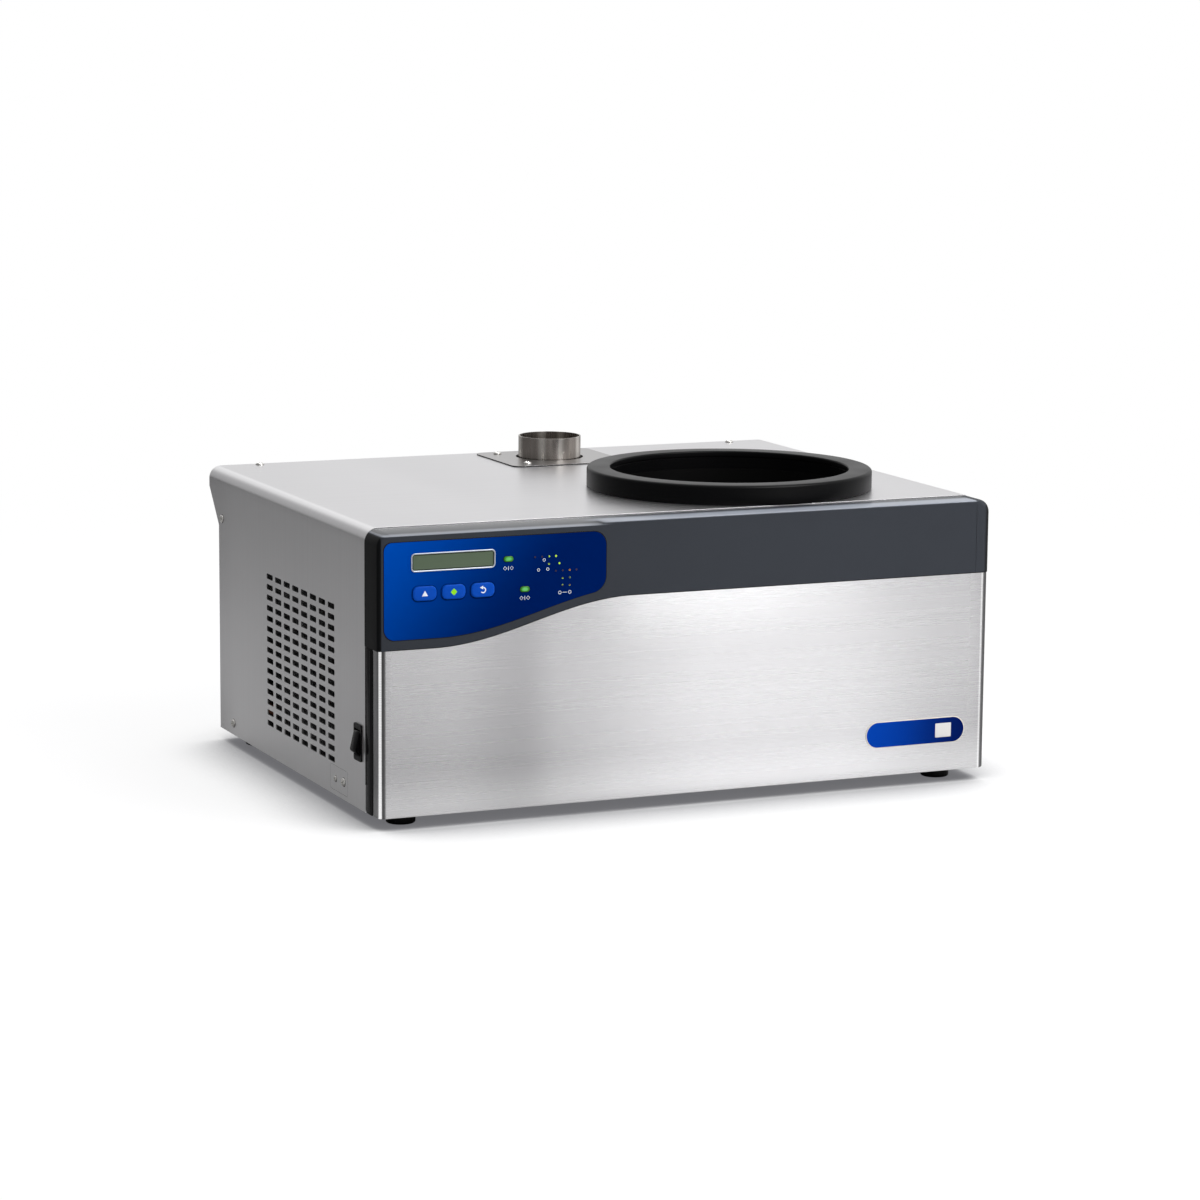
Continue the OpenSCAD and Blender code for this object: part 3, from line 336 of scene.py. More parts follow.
@dataclass(frozen=True)
class Brushed(Finish):
    """Brushed stainless sheet: long fine streaks along the grain and wide soft bands across its length.

    Args:
        streak: How far the streaks lighten and darken the colour.
        band: How far the soft bands darken it.
        flat: Whether the grain runs along X on a piece without a grain map.
        axis: The axis, 0 or 2, across the sheet whose cut walls get painted shade.
        depth: Where those walls start and end along the axis, and the lowest and highest of them.
    """

    streak: float = 0.05
    band: float = 0.06
    flat: bool = False
    axis: int = 0
    depth: tuple[float, ...] = ()

    def dress(self, graph: Paint) -> None:
        """Streaks far longer than wide in the grain map, over colour, roughness and relief.

        Args:
            graph: The material's node tree.
        """
        if self.flat:
            along, across = graph.place[0], graph.place[1] + graph.place[2]
        else:
            along, across = graph.grain()
        fine = graph.noise(along / 900.0, across / 1.1, 3.7, 1.0)
        broad = graph.noise(along / 1200.0, across / 3.2, 9.1, 1.0)
        bands = graph.noise(along / 150.0, across / 900.0, 1.9, 1.0)
        share = (fine * 0.5 + broad * 0.5).ramp(0.3, 0.7)
        streaked = graph.blend(share, self.tone(1 - self.streak), self.tone(1 + self.streak))
        veil = graph.blend(bands.ramp(0.3, 0.7), grey(1 - self.band), WHITE)
        grain_and_painted_shade = graph.blend(1.0, streaked, veil, "MULTIPLY")
        # folds gives painted sheen, sent to the emission, and painted shade that darkens the colour; cut
        # paints shade on cut walls.
        painted_sheen, dim = self.folds(graph)
        calm = (1.0 - dim) * (1.0 - dim)
        graph.shade(
            Base_Color=graph.blend(self.cut(graph), graph.blend(dim, grain_and_painted_shade, BLACK), grey(0.02)),
            Roughness=self.roughness + ((fine - 0.5) * 0.04 + (broad - 0.5) * 0.02) * calm,
            Metallic=self.metallic,
            Emission_Color=graph.blend(painted_sheen, BLACK, grey(0.6)),
            Emission_Strength=1.0,
        )
        graph.bump((fine * 0.75 + broad * 0.25) * calm, 0.35, self.relief)

    def folds(self, graph: Paint) -> tuple[Value | float, Value | float]:
        """Shares of painted sheen and of painted shade across any bends: none on a plain sheet."""
        return 0.0, 0.0

    def cut(self, graph: Paint) -> Value | float:
        """1 on the walls of punched holes and cut edges, where the sheet's own depth tells them apart.

        There the colour is painted near black, as shade.

        Args:
            graph: The material's node tree.

        Returns:
            The share.
        """
        if not self.depth:
            return 0.0
        near, far, low, high = self.depth
        away, z = graph.place[self.axis].size(), graph.place[2]
        return away.above(near) * (1.0 - away.above(far)) * z.above(low) * (1.0 - z.above(high))


@dataclass(frozen=True)
class Folded(Brushed):
    """Brushed sheet with two upright front bends, a broad band of painted shade between them, and painted
    light at the top and foot.

    Each bend has a line of painted sheen beside bands of painted shade.

    Args:
        left: Distances left of the middle: the painted shade's start and full depth, the sheen's start and
            end.
        right: Distances right of the middle: the sheen's start and end, and the starts of two painted shade
            bands.
        middle: Where the broad band of painted shade starts, is full twice and ends.
        foot: Heights between which the light at the foot dies out.
        brow: Heights between which the light at the top grows.
        span: Where that light starts, is full twice and ends.
    """

    left: tuple[float, ...] = (400.8, 404.0, 406.3, 409.1)
    right: tuple[float, ...] = (399.2, 401.2, 402.0, 404.8)
    middle: tuple[float, ...] = (-330.0, -220.0, -150.0, 40.0)
    foot: tuple[float, float] = (16.0, 80.0)
    brow: tuple[float, float] = (188.0, 272.0)
    span: tuple[float, ...] = (-150.0, -50.0, 60.0, 300.0)

    def folds(self, graph: Paint) -> tuple[Value, Value]:
        """Shares of painted sheen and light, and of painted shade, across the two bends, the broad band, the
        top and foot.

        Args:
            graph: The material's node tree.

        Returns:
            The two shares.
        """
        x, _, z = graph.place
        back = -1.0 * x
        dim, full, shine, end = self.left
        line, stop, first, second = self.right
        # Painted highlights: a line of sheen on the left bend and one on the right.
        sheen = back.hump(shine, shine + 0.8, end - 0.3, end + 0.5)
        edge = x.hump(line, line + 1.2, stop, stop + 1.2)
        # Painted shade on and beside the bends.
        grain_and_painted_shade = back.hump(dim, full, shine - 0.5, shine + 0.4) * 0.76 + back.ramp(end, end + 0.7) * 0.5
        grain_and_painted_shade = grain_and_painted_shade + x.ramp(first, first + 1.4) * 0.68 + x.ramp(second, second + 2.2) * 0.14
        # Painted shade in a broad band across the middle of the face.
        middle = x.hump(*self.middle) * (1.0 - x.ramp(-225.0, -175.0) * 0.4)
        # Painted light at the foot and the top, sent to the emission.
        foot = (1.0 - z.ramp(*self.foot)) * (x.ramp(-200.0, 100.0) * 0.04 + 0.32)
        brow = z.ramp(*self.brow) * x.hump(*self.span) * 0.32
        light = (foot + brow) * (1.0 - grain_and_painted_shade) * (1.0 - grain_and_painted_shade)
        # The last term paints shade towards the right end.
        return sheen + edge * 0.4 + light, grain_and_painted_shade + middle * 0.26 + x.ramp(190.0, 340.0) * 0.06


@dataclass(frozen=True)
class Rolled(Brushed):
    """Brushed sheet rolled over its long edges: a line of sheen along each roll, and light low on its sides.

    Args:
        line: Distances from the middle at which the sheen starts, is full twice and ends.
        top: Heights between which the sheen appears.
    """

    line: tuple[float, ...] = (396.0, 401.0, 404.5, 409.0)
    top: tuple[float, float] = (350.0, 354.0)

    def folds(self, graph: Paint) -> tuple[Value, float]:
        """Sheen by the distance from the middle and the height, dying out towards the rear on the sides.

        Args:
            graph: The material's node tree.

        Returns:
            The share of painted sheen and light, and no painted shade.
        """
        x, y, z = graph.place
        away = x.size()
        side = away.ramp(408.0, 411.0) * (1.0 - y.ramp(190.0, 300.0))
        low = (1.0 - z.ramp(25.0, 130.0)) * 0.08 + 0.035
        # Painted highlight along each roll and painted light low on the sides, both sent to the emission.
        return away.hump(*self.line) * z.ramp(*self.top) * 0.3 + side * low, 0.0


@dataclass(frozen=True)
class Turned(Finish):
    """Turned or drawn metal with no grain map: fine marks stretched along some axes.

    Args:
        stretch: Length of the marks along X, Y and Z.
        stain: Length of the larger stains along X, Y and Z.
    """

    stretch: tuple[float, float, float] = (70.0, 70.0, 0.5)
    stain: tuple[float, float, float] = (18.0, 18.0, 18.0)

    def base(self, graph: Paint, rings: Value) -> bpy.types.NodeSocket:
        """The colour under the marks and stains."""
        return self.mottled(graph, (rings * 0.6 + graph.marks(*self.stain) * 0.4).ramp(0.25, 0.75))

    def dress(self, graph: Paint) -> None:
        """Stretched noise over colour, roughness and relief.

        Args:
            graph: The material's node tree.
        """
        rings = graph.marks(*self.stretch)
        graph.shade(
            Base_Color=self.base(graph, rings),
            Roughness=self.roughness + (rings - 0.5) * 0.2,
            Metallic=self.metallic,
        )
        graph.bump(rings, 0.3, self.relief)


@dataclass(frozen=True)
class Tube(Turned):
    """Polished upright tube with painted reflection bands down its wall.

    Args:
        centre: The tube's middle, as X and Y.
        radius: Its outer radius.
        turn: Sine of the angle by which the bands are turned from the front towards the left.
        bands: Middle and half width of each band, as shares of the radius.
        pale: Screen colour of the painted reflection bands.
    """

    centre: tuple[float, float] = (45.9, 245.8)
    radius: float = 42.0
    turn: float = 0.39
    bands: tuple[tuple[float, float], ...] = ((-0.93, 0.1), (-0.25, 0.2), (0.34, 0.17), (0.9, 0.09))
    pale: Colour = (238, 233, 226)

    def base(self, graph: Paint, rings: Value) -> bpy.types.NodeSocket:
        """The colour, paler where a point's offset across the line of the bands lies within one.

        The pale bands are painted reflections.

        Args:
            graph: The material's node tree.
            rings: The stretched marks.

        Returns:
            The colour's socket.
        """
        x, y, _ = graph.place
        level = math.sqrt(1.0 - self.turn**2)
        offset = ((x - self.centre[0]) * level - (y - self.centre[1]) * self.turn) / self.radius
        light: Value | float = 0.0
        for middle, half in self.bands:
            light = (1.0 - ((offset - middle).size() / half).ramp(0.0, 1.0)) + light
        return graph.blend(light * 0.75 + (rings - 0.5) * 0.14, self.tone(1.0), linear(*self.pale))


@dataclass(frozen=True)
class ConsoleFilm(Finish):
    """Printed film of the console: deep blue that darkens to the right and slightly downwards.

    Args:
        far: Screen colour at the right end.
        left, right: The film's ends.
        low, top: Its lowest and highest points.
        pads: Middles of the keys, as X and Z.
        pad: Half a key's width and half its height.
        round: A key's corner radius.
    """

    far: Colour = (0, 26, 86)
    left: float = -405.0
    right: float = -119.0
    low: float = 232.0
    top: float = 349.0
    pads: tuple[tuple[float, float], ...] = ()
    pad: tuple[float, float] = (10.0, 8.0)
    round: float = 7.0

    def dress(self, graph: Paint) -> None:
        """A slanted fade between the two blues, painted shade round the keys, under a faint satin texture.

        Args:
            graph: The material's node tree.
        """
        x, _, z = graph.place
        across = (x - self.left) / (self.right - self.left)
        fade = across * 1.35 + (self.top - z) / (self.top - self.low) * 0.45
        satin = graph.marks(0.7, 0.7, 0.7, detail=1.0)
        colour = graph.blend(fade.ramp(-0.3, 1.2), self.tone(1.0), linear(*self.far))
        # Painted shade round each key, darkest at its edge and fading within about two millimetres.
        for px, pz in self.pads:
            a = ((x - px).size() - self.pad[0] + self.round).larger(0.0)
            b = ((z - pz + 0.3).size() - self.pad[1] + self.round).larger(0.0)
            away = (a * a + b * b).root() - self.round
            colour = graph.blend((1.0 - away.ramp(0.2, 1.7)) * 0.8, colour, (0.0, 0.003, 0.02, 1))
        graph.shade(
            Base_Color=colour,
            Roughness=self.roughness + (satin - 0.5) * 0.06,
        )
        graph.bump(satin, 0.3, self.relief)


@dataclass(frozen=True)
class Moulding(Finish):
    """Moulded plastic with a painted highlight on its upper edge, a satin slope above the console and
    painted shade on its ends.

    Args:
        crest: Heights between which the painted highlight starts.
        shade: Where along Y the painted highlight has faded out, and where it starts to fade.
        split: Where along X the painted highlight begins.
        joint: Where along X it ends.
        ends: Distances left and right of the middle at which the painted shade on the ends begins.
        painted_line: Heights of the thin painted highlight along the foot of the slope: start, full, full and
            end.
        bright: Screen colour of the painted highlights.
    """

    crest: tuple[float, float] = (358.4, 359.6)
    shade: tuple[float, float] = (-301.0, -285.0)
    split: tuple[float, float] = (-150.0, -105.0)
    joint: tuple[float, float] = (388.5, 391.0)
    ends: tuple[float, float] = (407.4, 401.0)
    painted_line: tuple[float, ...] = (355.7, 356.2, 357.0, 358.2)
    bright: Colour = (178, 184, 196)

    def base(self, graph: Paint, speck: Value) -> bpy.types.NodeSocket:
        """The colour, with a painted highlight by height and depth on the upper edge, and painted shade by X
        at both ends.

        Args:
            graph: The material's node tree.
            speck: The fine speckle.

        Returns:
            The colour's socket.
        """
        x, y, z = graph.place
        # Painted highlight on the upper edge and along the foot of the slope; painted shade on both ends.
        right = x.ramp(*self.split)
        crest = z.ramp(*self.crest) * (1.0 - y.ramp(*self.shade)) * right * (1.0 - x.ramp(*self.joint))
        painted_line = z.hump(*self.painted_line) * (1.0 - right)
        side = (-1.0 * x).ramp(self.ends[0], self.ends[0] + 1.4) + x.ramp(self.ends[1], self.ends[1] + 5.0)
        cloud = graph.marks(120.0, 60.0, 60.0)
        body = graph.blend(side, self.mottled(graph, speck * 0.6 + cloud * 0.4), self.tone(0.12))
        pale = (crest * (0.45 + cloud * 0.3)).larger(painted_line * 0.4)
        return graph.blend(pale, body, linear(*self.bright))

    def dress(self, graph: Paint) -> None:
        """The plain finish, with a clear coat on the slope and on the bright edge.

        Args:
            graph: The material's node tree.
        """
        super().dress(graph)
        x, _, z = graph.place
        right = x.ramp(*self.split)
        edge = z.ramp(358.5, 359.8) * right * (1.0 - x.ramp(*self.joint))
        graph.shade(Coat_Weight=z.ramp(355.6, 357.0) * (1.0 - right) * 0.8 + edge * 0.35, Coat_Roughness=0.14)


@dataclass(frozen=True)
class Lens(Finish):
    """A lit lens, brightest in its middle.

    Args:
        centres: The lenses' middles on the front, as X and Z.
        reach: How far the bright middle reaches.
    """

    centres: tuple[tuple[float, float], ...] = ()
    reach: float = 3.0

    def dress(self, graph: Paint) -> None:
        """Brightness falls with the distance from the nearest middle.

        Args:
            graph: The material's node tree.
        """
        x, _, z = graph.place
        nearest: Value | None = None
        for cx, cz in self.centres:
            dx, dz = (x - cx) / 1.7, z - cz
            far = dx * dx + dz * dz
            nearest = far if nearest is None else nearest.smaller(far)
        glow = 1.0 - (nearest / (self.reach * self.reach)).ramp(0.0, 1.0)
        graph.shade(
            Base_Color=graph.blend(glow, self.tone(0.55), linear(100, 188, 100)),
            Roughness=self.roughness,
            Emission_Color=graph.blend(glow, self.tone(0.25), self.tone(1.0)),
            Emission_Strength=0.05,
        )


@dataclass(frozen=True)
class SignalDots(Finish):
    """Tiny status dots whose colour changes from dot to dot.

    Args:
        other: The second screen colour.
        unlit: Screen colour of the dark dots.
        pitch: Spacing of the dots.
    """

    other: Colour = (150, 96, 40)
    unlit: Colour = (44, 36, 62)
    pitch: float = 9.0

    def dress(self, graph: Paint) -> None:
        """Noise that is nearly level over one dot picks the mix of two colours.

        Args:
            graph: The material's node tree.
        """
        x, _, z = graph.place
        pick = graph.noise(x / (1.7 * self.pitch), z / (1.3 * self.pitch), 4.2, 0.0)
        lit = graph.noise(x / (1.1 * self.pitch), z / (1.2 * self.pitch), 9.4, 0.0)
        colour = graph.blend(pick.ramp(0.42, 0.58), linear(*self.other), self.tone(1.0))
        colour = graph.blend(lit.ramp(0.44, 0.6), linear(*self.unlit), colour)
        graph.shade(Base_Color=colour, Roughness=self.roughness)
        graph.shade(Emission_Color=colour, Emission_Strength=0.06)


@dataclass(frozen=True)
class Display(Finish):
    """Unlit display glass: grey-green, with painted shade along its rim.

    Args:
        centre: Middle of the glass on the front, as X and Z.
        half: Half its width and half its height.
    """

    centre: tuple[float, float] = (0.0, 0.0)
    half: tuple[float, float] = (50.0, 8.0)

    def dress(self, graph: Paint) -> None:
        """Painted shade: the distance to the nearest edge darkens the last millimetre.

        Args:
            graph: The material's node tree.
        """
        x, _, z = graph.place
        side = self.half[0] - (x - self.centre[0]).size()
        edge = side.smaller(self.half[1] - (z - self.centre[1]).size())
        cloud = graph.noise(x / 40.0, z / 12.0, 2.0, 1.0)
        body = graph.blend(cloud, self.tone(0.94), self.tone(1.06))
        graph.shade(
            Base_Color=graph.blend(edge.ramp(0.2, 2.0), (0.006, 0.007, 0.006, 1), body),
            Roughness=self.roughness + (cloud - 0.5) * 0.04,
        )


@dataclass(frozen=True)
class Badge(Finish):
    """A printed badge: blue with a thin pale line near its edge.

    Args:
        far: Screen colour at the right end.
        centre: Middle of the badge on the front, as X and Z.
        half: Half its width and half its height.
        line: Width of the pale line.
    """

    far: Colour = (0, 20, 82)
    centre: tuple[float, float] = (309.5, 69.2)
    half: tuple[float, float] = (70.0, 16.85)
    line: float = 1.0

    def dress(self, graph: Paint) -> None:
        """The distance from the badge's middle line gives its rounded ends and the pale line.

        Args:
            graph: The material's node tree.
        """
        x, _, z = graph.place
        span = self.half[0] - self.half[1]
        dx = ((x - self.centre[0]).size() - span).larger(0.0)
        dz = z - self.centre[1]
        depth = self.half[1] - (dx * dx + dz * dz).root()
        pale = 1.0 - depth.above(self.line)
        fade = ((x - self.centre[0]) / (2 * self.half[0]) + 0.5).ramp(0.0, 1.0)
        blue = graph.blend(fade, self.tone(1.0), linear(*self.far))
        graph.shade(
            Base_Color=graph.blend(pale, blue, linear(214, 208, 198)),
            Roughness=self.roughness + graph.noise(x / 2.0, 0.0, z / 2.0) * 0.04,
        )


@dataclass(frozen=True)
class Board(Finish):
    """Circuit board: solder mask with fine straight tracks."""

    def dress(self, graph: Paint) -> None:
        """Noise squeezed along each of two directions lightens the mask as tracks.

        Args:
            graph: The material's node tree.
        """
        x, _, z = graph.place
        level = graph.noise(x / 14.0, z / 1.1, 1.0, 1.0)
        tracks = level.larger(graph.noise(x / 1.1, z / 14.0, 5.0, 1.0))
        graph.shade(
            Base_Color=graph.blend(tracks.ramp(0.55, 0.65), self.tone(0.7), self.tone(1.6)),
            Roughness=self.roughness + (tracks - 0.5) * 0.1,
        )


class Finishes:
    """The machine's finishes, one for each material slot of the record."""

    STAINLESS = Brushed(SHEET, (206, 205, 207), 0.27, 1.0, relief=0.001, streak=0.045, band=0.02)
    PANEL = Folded(SHEET, (202, 201, 203), 0.27, 1.0, relief=0.0002, streak=0.016, band=0.01)
    # COVER and PLATE paint near-black shade on the cut walls that their depth marks.
    COVER = Rolled(
        SHEET, (224, 223, 225), 0.3, 1.0, relief=0.004, streak=0.022, band=0.04,
        depth=(410.05, 411.48, 50.0, 262.0),
    )
    PLATE = Brushed(
        SHEET, (180, 178, 178), 0.3, 1.0, relief=0.002, streak=0.03, flat=True, axis=2,
        depth=(360.0, 362.25, 0.0, 400.0),
    )
    ZINC = Finish("zinc_steel", (176, 178, 180), 0.42, 0.9, 0.14, 9.0, 0.02)
    CHARCOAL = Moulding("charcoal_plastic", (51, 54, 60), 0.5, 0.0, 0.14, 0.9, 0.04, gloss=0.1)
    BLACK = Finish("black_plastic", (9, 9, 10), 0.38, 0.0, 0.12, 1.4, 0.01, gloss=0.14)
    BLACK_GLOSS = Finish("black_gloss", (8, 8, 9), 0.2, 0.0, 0.1, 4.0, 0.0, gloss=0.07)
    RUBBER = Finish("black_rubber", (7, 7, 8), 0.34, 0.0, 0.12, 2.2, 0.004, gloss=0.1)
    SCREW = Finish("screw_steel", (232, 230, 226), 0.18, 1.0, 0.05, 0.8, 0.004)
    FILM = ConsoleFilm("blue_film", (0, 76, 182), 0.4, relief=0.01, gloss=0.0)
    SILVER = Finish("silver_frame", (190, 196, 206), 0.3, 0.6, 0.03, 0.6, 0.01)
    GLASS = Display("display_glass", (84, 98, 79), 0.2, centre=(-317.1, 323.7), half=(52.0, 9.6), gloss=0.2)
    BOARD = Board("circuit_board", (24, 92, 48), 0.4)
    KEY = Finish("blue_key", (0, 72, 178), 0.4, 0.0, 0.06, 3.0, 0.01, gloss=0.08)
    LAMP = Lens("green_lens", (62, 162, 40), 0.22, gloss=0.3, centres=((-246.5, 321.6), (-225.2, 284.0)))
    DOTS = SignalDots("dot_lens", (176, 220, 60), 0.3, gloss=0.1)
    BADGE = Badge("badge_blue", (0, 58, 158), 0.35, gloss=0.02)
    WHITE = Finish("badge_white", (208, 207, 205), 0.36, 0.0, 0.03, 2.0, 0.0, gloss=0.2)
    CHAMBER = Finish("chamber_black", (9, 9, 9), 0.4, 0.0, 0.2, 2.5, 0.02, gloss=0.12)
    FOAM = Finish("foam", (214, 203, 158), 0.9, 0.0, 0.16, 3.0, 0.5)
    BRASS = Turned("brass", (196, 160, 92), 0.28, 1.0, 0.08, relief=0.01, stretch=(70.0, 0.5, 70.0))
    HOSE = Finish("clear_hose", (214, 216, 212), 0.3, 0.0, 0.05, 8.0, 0.02)
    TUBE = Turned("tube_steel", (176, 172, 168), 0.24, 1.0, 0.12, relief=0.01)
    PORT = Tube("tube_steel", (156, 149, 143), 0.28, 1.0, 0.06, relief=0.002, stretch=(6.0, 6.0, 200.0))
    ENAMEL = Finish("black_enamel", (18, 18, 19), 0.32, 0.0, 0.14, 2.0, 0.03)
    COPPER = Turned("copper", (196, 118, 80), 0.3, 1.0, 0.18, relief=0.01, stretch=(70.0, 0.5, 70.0))
    FIN = Finish("fin_aluminium", (196, 198, 200), 0.34, 1.0, 0.08, 5.0, 0.02)
    PRINT = Finish("white_print", (232, 236, 242), 0.4, 0.0, 0.02, 1.0, 0.0, gloss=0.1)
    PRINT_GREEN = Finish("green_print", (146, 224, 40), 0.38, 0.0, 0.04, 1.0, 0.0, gloss=0.1)


# ---------- Surfaces ----------


@dataclass
class Surface:
    """A mesh in the making, in millimetres.

    Args:
        points: One row for each point.
        faces: Point numbers of each face, counted so that it looks outwards.
        grain: Millimetres along and across the brushing at each point, where the finish needs them.
    """

    points: Array
    faces: list[list[int]]
    grain: Array | None = None

    def plus(self, other: "Surface") -> "Surface":
        """The two surfaces as one, with the second one's faces renumbered.

        Args:
            other: The second surface.

        Returns:
            Both in one.
        """
        start = len(self.points)
        faces = self.faces + [[start + n for n in face] for face in other.faces]
        return Surface(np.concatenate([self.points, other.points]), faces)


def grid(points: Array, close_u: bool = False, close_v: bool = False) -> Surface:
    """Four-sided faces between neighbours in a two-parameter array of points.

    Args:
        points: The array, rows by columns by three.
        close_u: Whether the last row meets the first.
        close_v: Whether the last column meets the first.

    Returns:
        The surface.
    """
    rows, columns = points.shape[:2]
    number = np.arange(rows * columns).reshape(rows, columns)
    i = np.arange(rows if close_u else rows - 1)[:, None]
    j = np.arange(columns if close_v else columns - 1)[None, :]
    k, m = (i + 1) % rows, (j + 1) % columns
    quads = np.stack([number[i, j], number[k, j], number[k, m], number[i, m]], -1)
    return Surface(points.reshape(-1, 3), quads.reshape(-1, 4).tolist())


def round_box(w: float, h: float, r: float, inset: Any = 0.0, steps: int = 6) -> Array:
    """Outlines of a box with round corners, each moved inwards by an inset.

    A point is its corner's centre plus the remaining radius times the direction at its angle.

    Args:
        w, h: Width and height.
        r: Corner radius.
        inset: One inset or several.
        steps: Pieces of each quarter circle.

    Returns:
        Insets by points by two, counterclockwise from the right.
    """
    inset = np.atleast_1d(np.asarray(inset, float))[:, None]
    radius = np.maximum(r - inset, 0.03)
    quarter = np.linspace(0, 90, steps + 1)
    angle = np.radians((np.arange(4)[:, None] * 90 + quarter[None]).ravel())
    side_a = np.repeat([1.0, -1.0, -1.0, 1.0], steps + 1)
    side_b = np.repeat([1.0, 1.0, -1.0, -1.0], steps + 1)
    a = side_a * (w / 2 - inset - radius) + radius * np.cos(angle)
    b = side_b * (h / 2 - inset - radius) + radius * np.sin(angle)
    return np.stack([a, b], -1)


class Facing(Enum):
    """Which way a fitted piece looks: its right, its up and its outward direction."""

    FRONT = ((1, 0, 0), (0, 0, 1), (0, -1, 0))
    REAR = ((-1, 0, 0), (0, 0, 1), (0, 1, 0))
    LEFT = ((0, -1, 0), (0, 0, 1), (-1, 0, 0))
    RIGHT = ((0, 1, 0), (0, 0, 1), (1, 0, 0))
    UP = ((1, 0, 0), (0, 1, 0), (0, 0, 1))
    DOWN = ((1, 0, 0), (0, -1, 0), (0, 0, -1))

    def place(self, origin: Floats, flat: Array, height: Array) -> Array:
        """Puts points of a drawing into space.

        Args:
            origin: Where the drawing's middle lies.
            flat: The drawing's points, the last size being two.
            height: How far each stands out.

        Returns:
            The points in space.
        """
        right, up, out = (np.array(v, float) for v in self.value)
        height = np.broadcast_to(height, flat.shape[:-1])
        spot = np.array(origin, float) + flat[..., :1] * right + flat[..., 1:] * up
        return spot + height[..., None] * out


def joined(surfaces: Iterable[Surface]) -> Surface:
    """Several surfaces as one."""
    return functools.reduce(Surface.plus, surfaces)


def capped(surface: Surface, columns: int, first: bool = True) -> Surface:
    """Closes a grid's rows of so many points with flat faces: the first row where wanted, and the last."""
    numbers = list(range(len(surface.points)))
    return replace(surface, faces=surface.faces + [numbers[:columns][::-1]] * first + [numbers[-columns:]])


def loft(
    size: tuple[float, float, float],
    profile: Pairs,
    facing: Facing,
    origin: Floats,
    steps: int = 6,
    hollow: bool = False,
) -> Surface:
    """Carries a profile round a box with round corners: each profile point is an inset of it at a height.

    Args:
        size: The box's width, height and corner radius.
        profile: Pairs of inset and height, from the back round to the front.
        facing: Which way the piece looks.
        origin: Where its middle lies.
        steps: Pieces of each quarter circle.
        hollow: Whether the profile closes on itself, as on a frame. If not, both ends are closed flat.

    Returns:
        The closed surface.
    """
    insets, heights = np.array(profile, float).T
    flat = round_box(*size, insets, steps)
    surface = grid(facing.place(origin, flat, heights[:, None]), close_u=hollow, close_v=True)
    return surface if hollow else capped(surface, flat.shape[1])


def revolve(profile: Pairs, facing: Facing, origin: Floats, steps: int) -> Surface:
    """Turns a closed profile about the outward axis: radius times the direction at each angle, at its height.

    Args:
        profile: Pairs of radius and height, round the section.
        facing: The axis.
        origin: A point on the axis, at height nought.
        steps: Pieces of the full turn.

    Returns:
        The ring-shaped closed surface.
    """
    radius, height = np.array(profile, float).T
    angle = np.linspace(0, 2 * np.pi, steps, endpoint=False)
    flat = radius[:, None, None] * np.stack([np.cos(angle), np.sin(angle)], -1)[None]
    return grid(facing.place(origin, flat, height[:, None]), close_u=True, close_v=True)


def arc(centre: tuple[float, float], r: float, start: float, end: float, steps: int = 6) -> Pairs:
    """Points of an arc about a centre, from one angle to another in degrees."""
    angle = np.radians(np.linspace(start, end, steps + 1))
    return list(zip(centre[0] + r * np.cos(angle), centre[1] + r * np.sin(angle)))


class Section:
    """A folded sheet's section: straight runs joined by round bends, measured along its length."""

    def __init__(self, corners: Pairs, radius: float, steps: int = 8) -> None:
        """Rounds each inner corner.

        Args:
            corners: The fold lines' points, with the two ends.
            radius: Bend radius.
            steps: Pieces of each bend.
        """
        path = np.array(corners, float)
        runs = [path[:1]]
        for before, corner, after in zip(path[:-2], path[1:-1], path[2:]):
            into = (before - corner) / np.linalg.norm(before - corner)
            away = (after - corner) / np.linalg.norm(after - corner)
            half = math.acos(float(np.clip(into @ away, -1, 1))) / 2
            middle = (into + away) / np.linalg.norm(into + away)
            centre = corner + middle * radius / math.sin(half)
            first = corner + into * radius / math.tan(half) - centre
            last = corner + away * radius / math.tan(half) - centre
            share = np.linspace(0, 1, steps + 1)[:, None]
            turn = np.pi - 2 * half
            spread = first * np.sin((1 - share) * turn) + last * np.sin(share * turn)
            runs.append(centre + spread / math.sin(turn))
        runs.append(path[-1:])
        self.points = np.concatenate(runs)
        self.lines = np.concatenate([[0], np.cumsum(np.linalg.norm(np.diff(self.points, axis=0), axis=1))])

    def at(self, s: Array) -> tuple[Array, Array]:
        """The two coordinates at distances along the section."""
        return np.interp(s, self.lines, self.points[:, 0]), np.interp(s, self.lines, self.points[:, 1])

    def distance(self, axis: int, value: float, last: bool = False) -> float:
        """How far along the section a coordinate, 0 or 1, takes a value for the first or the last time."""
        fine = np.linspace(0, self.lines[-1], 20001)
        return float(fine[np.flatnonzero(np.abs(self.at(fine)[axis] - value) < 0.05)[-1 if last else 0]])


@dataclass(frozen=True)
class Hole:
    """A hole in a sheet, in the sheet's own two measures.

    Args:
        u, v: Its middle.
        w, h: Its size.
        r: Its corner radius.
        cell: Half the width and height of the patch of sheet around it.
        steps: Pieces of each corner.
    """

    u: float
    v: float
    w: float
    h: float
    r: float
    cell: tuple[float, float]
    steps: int = 3


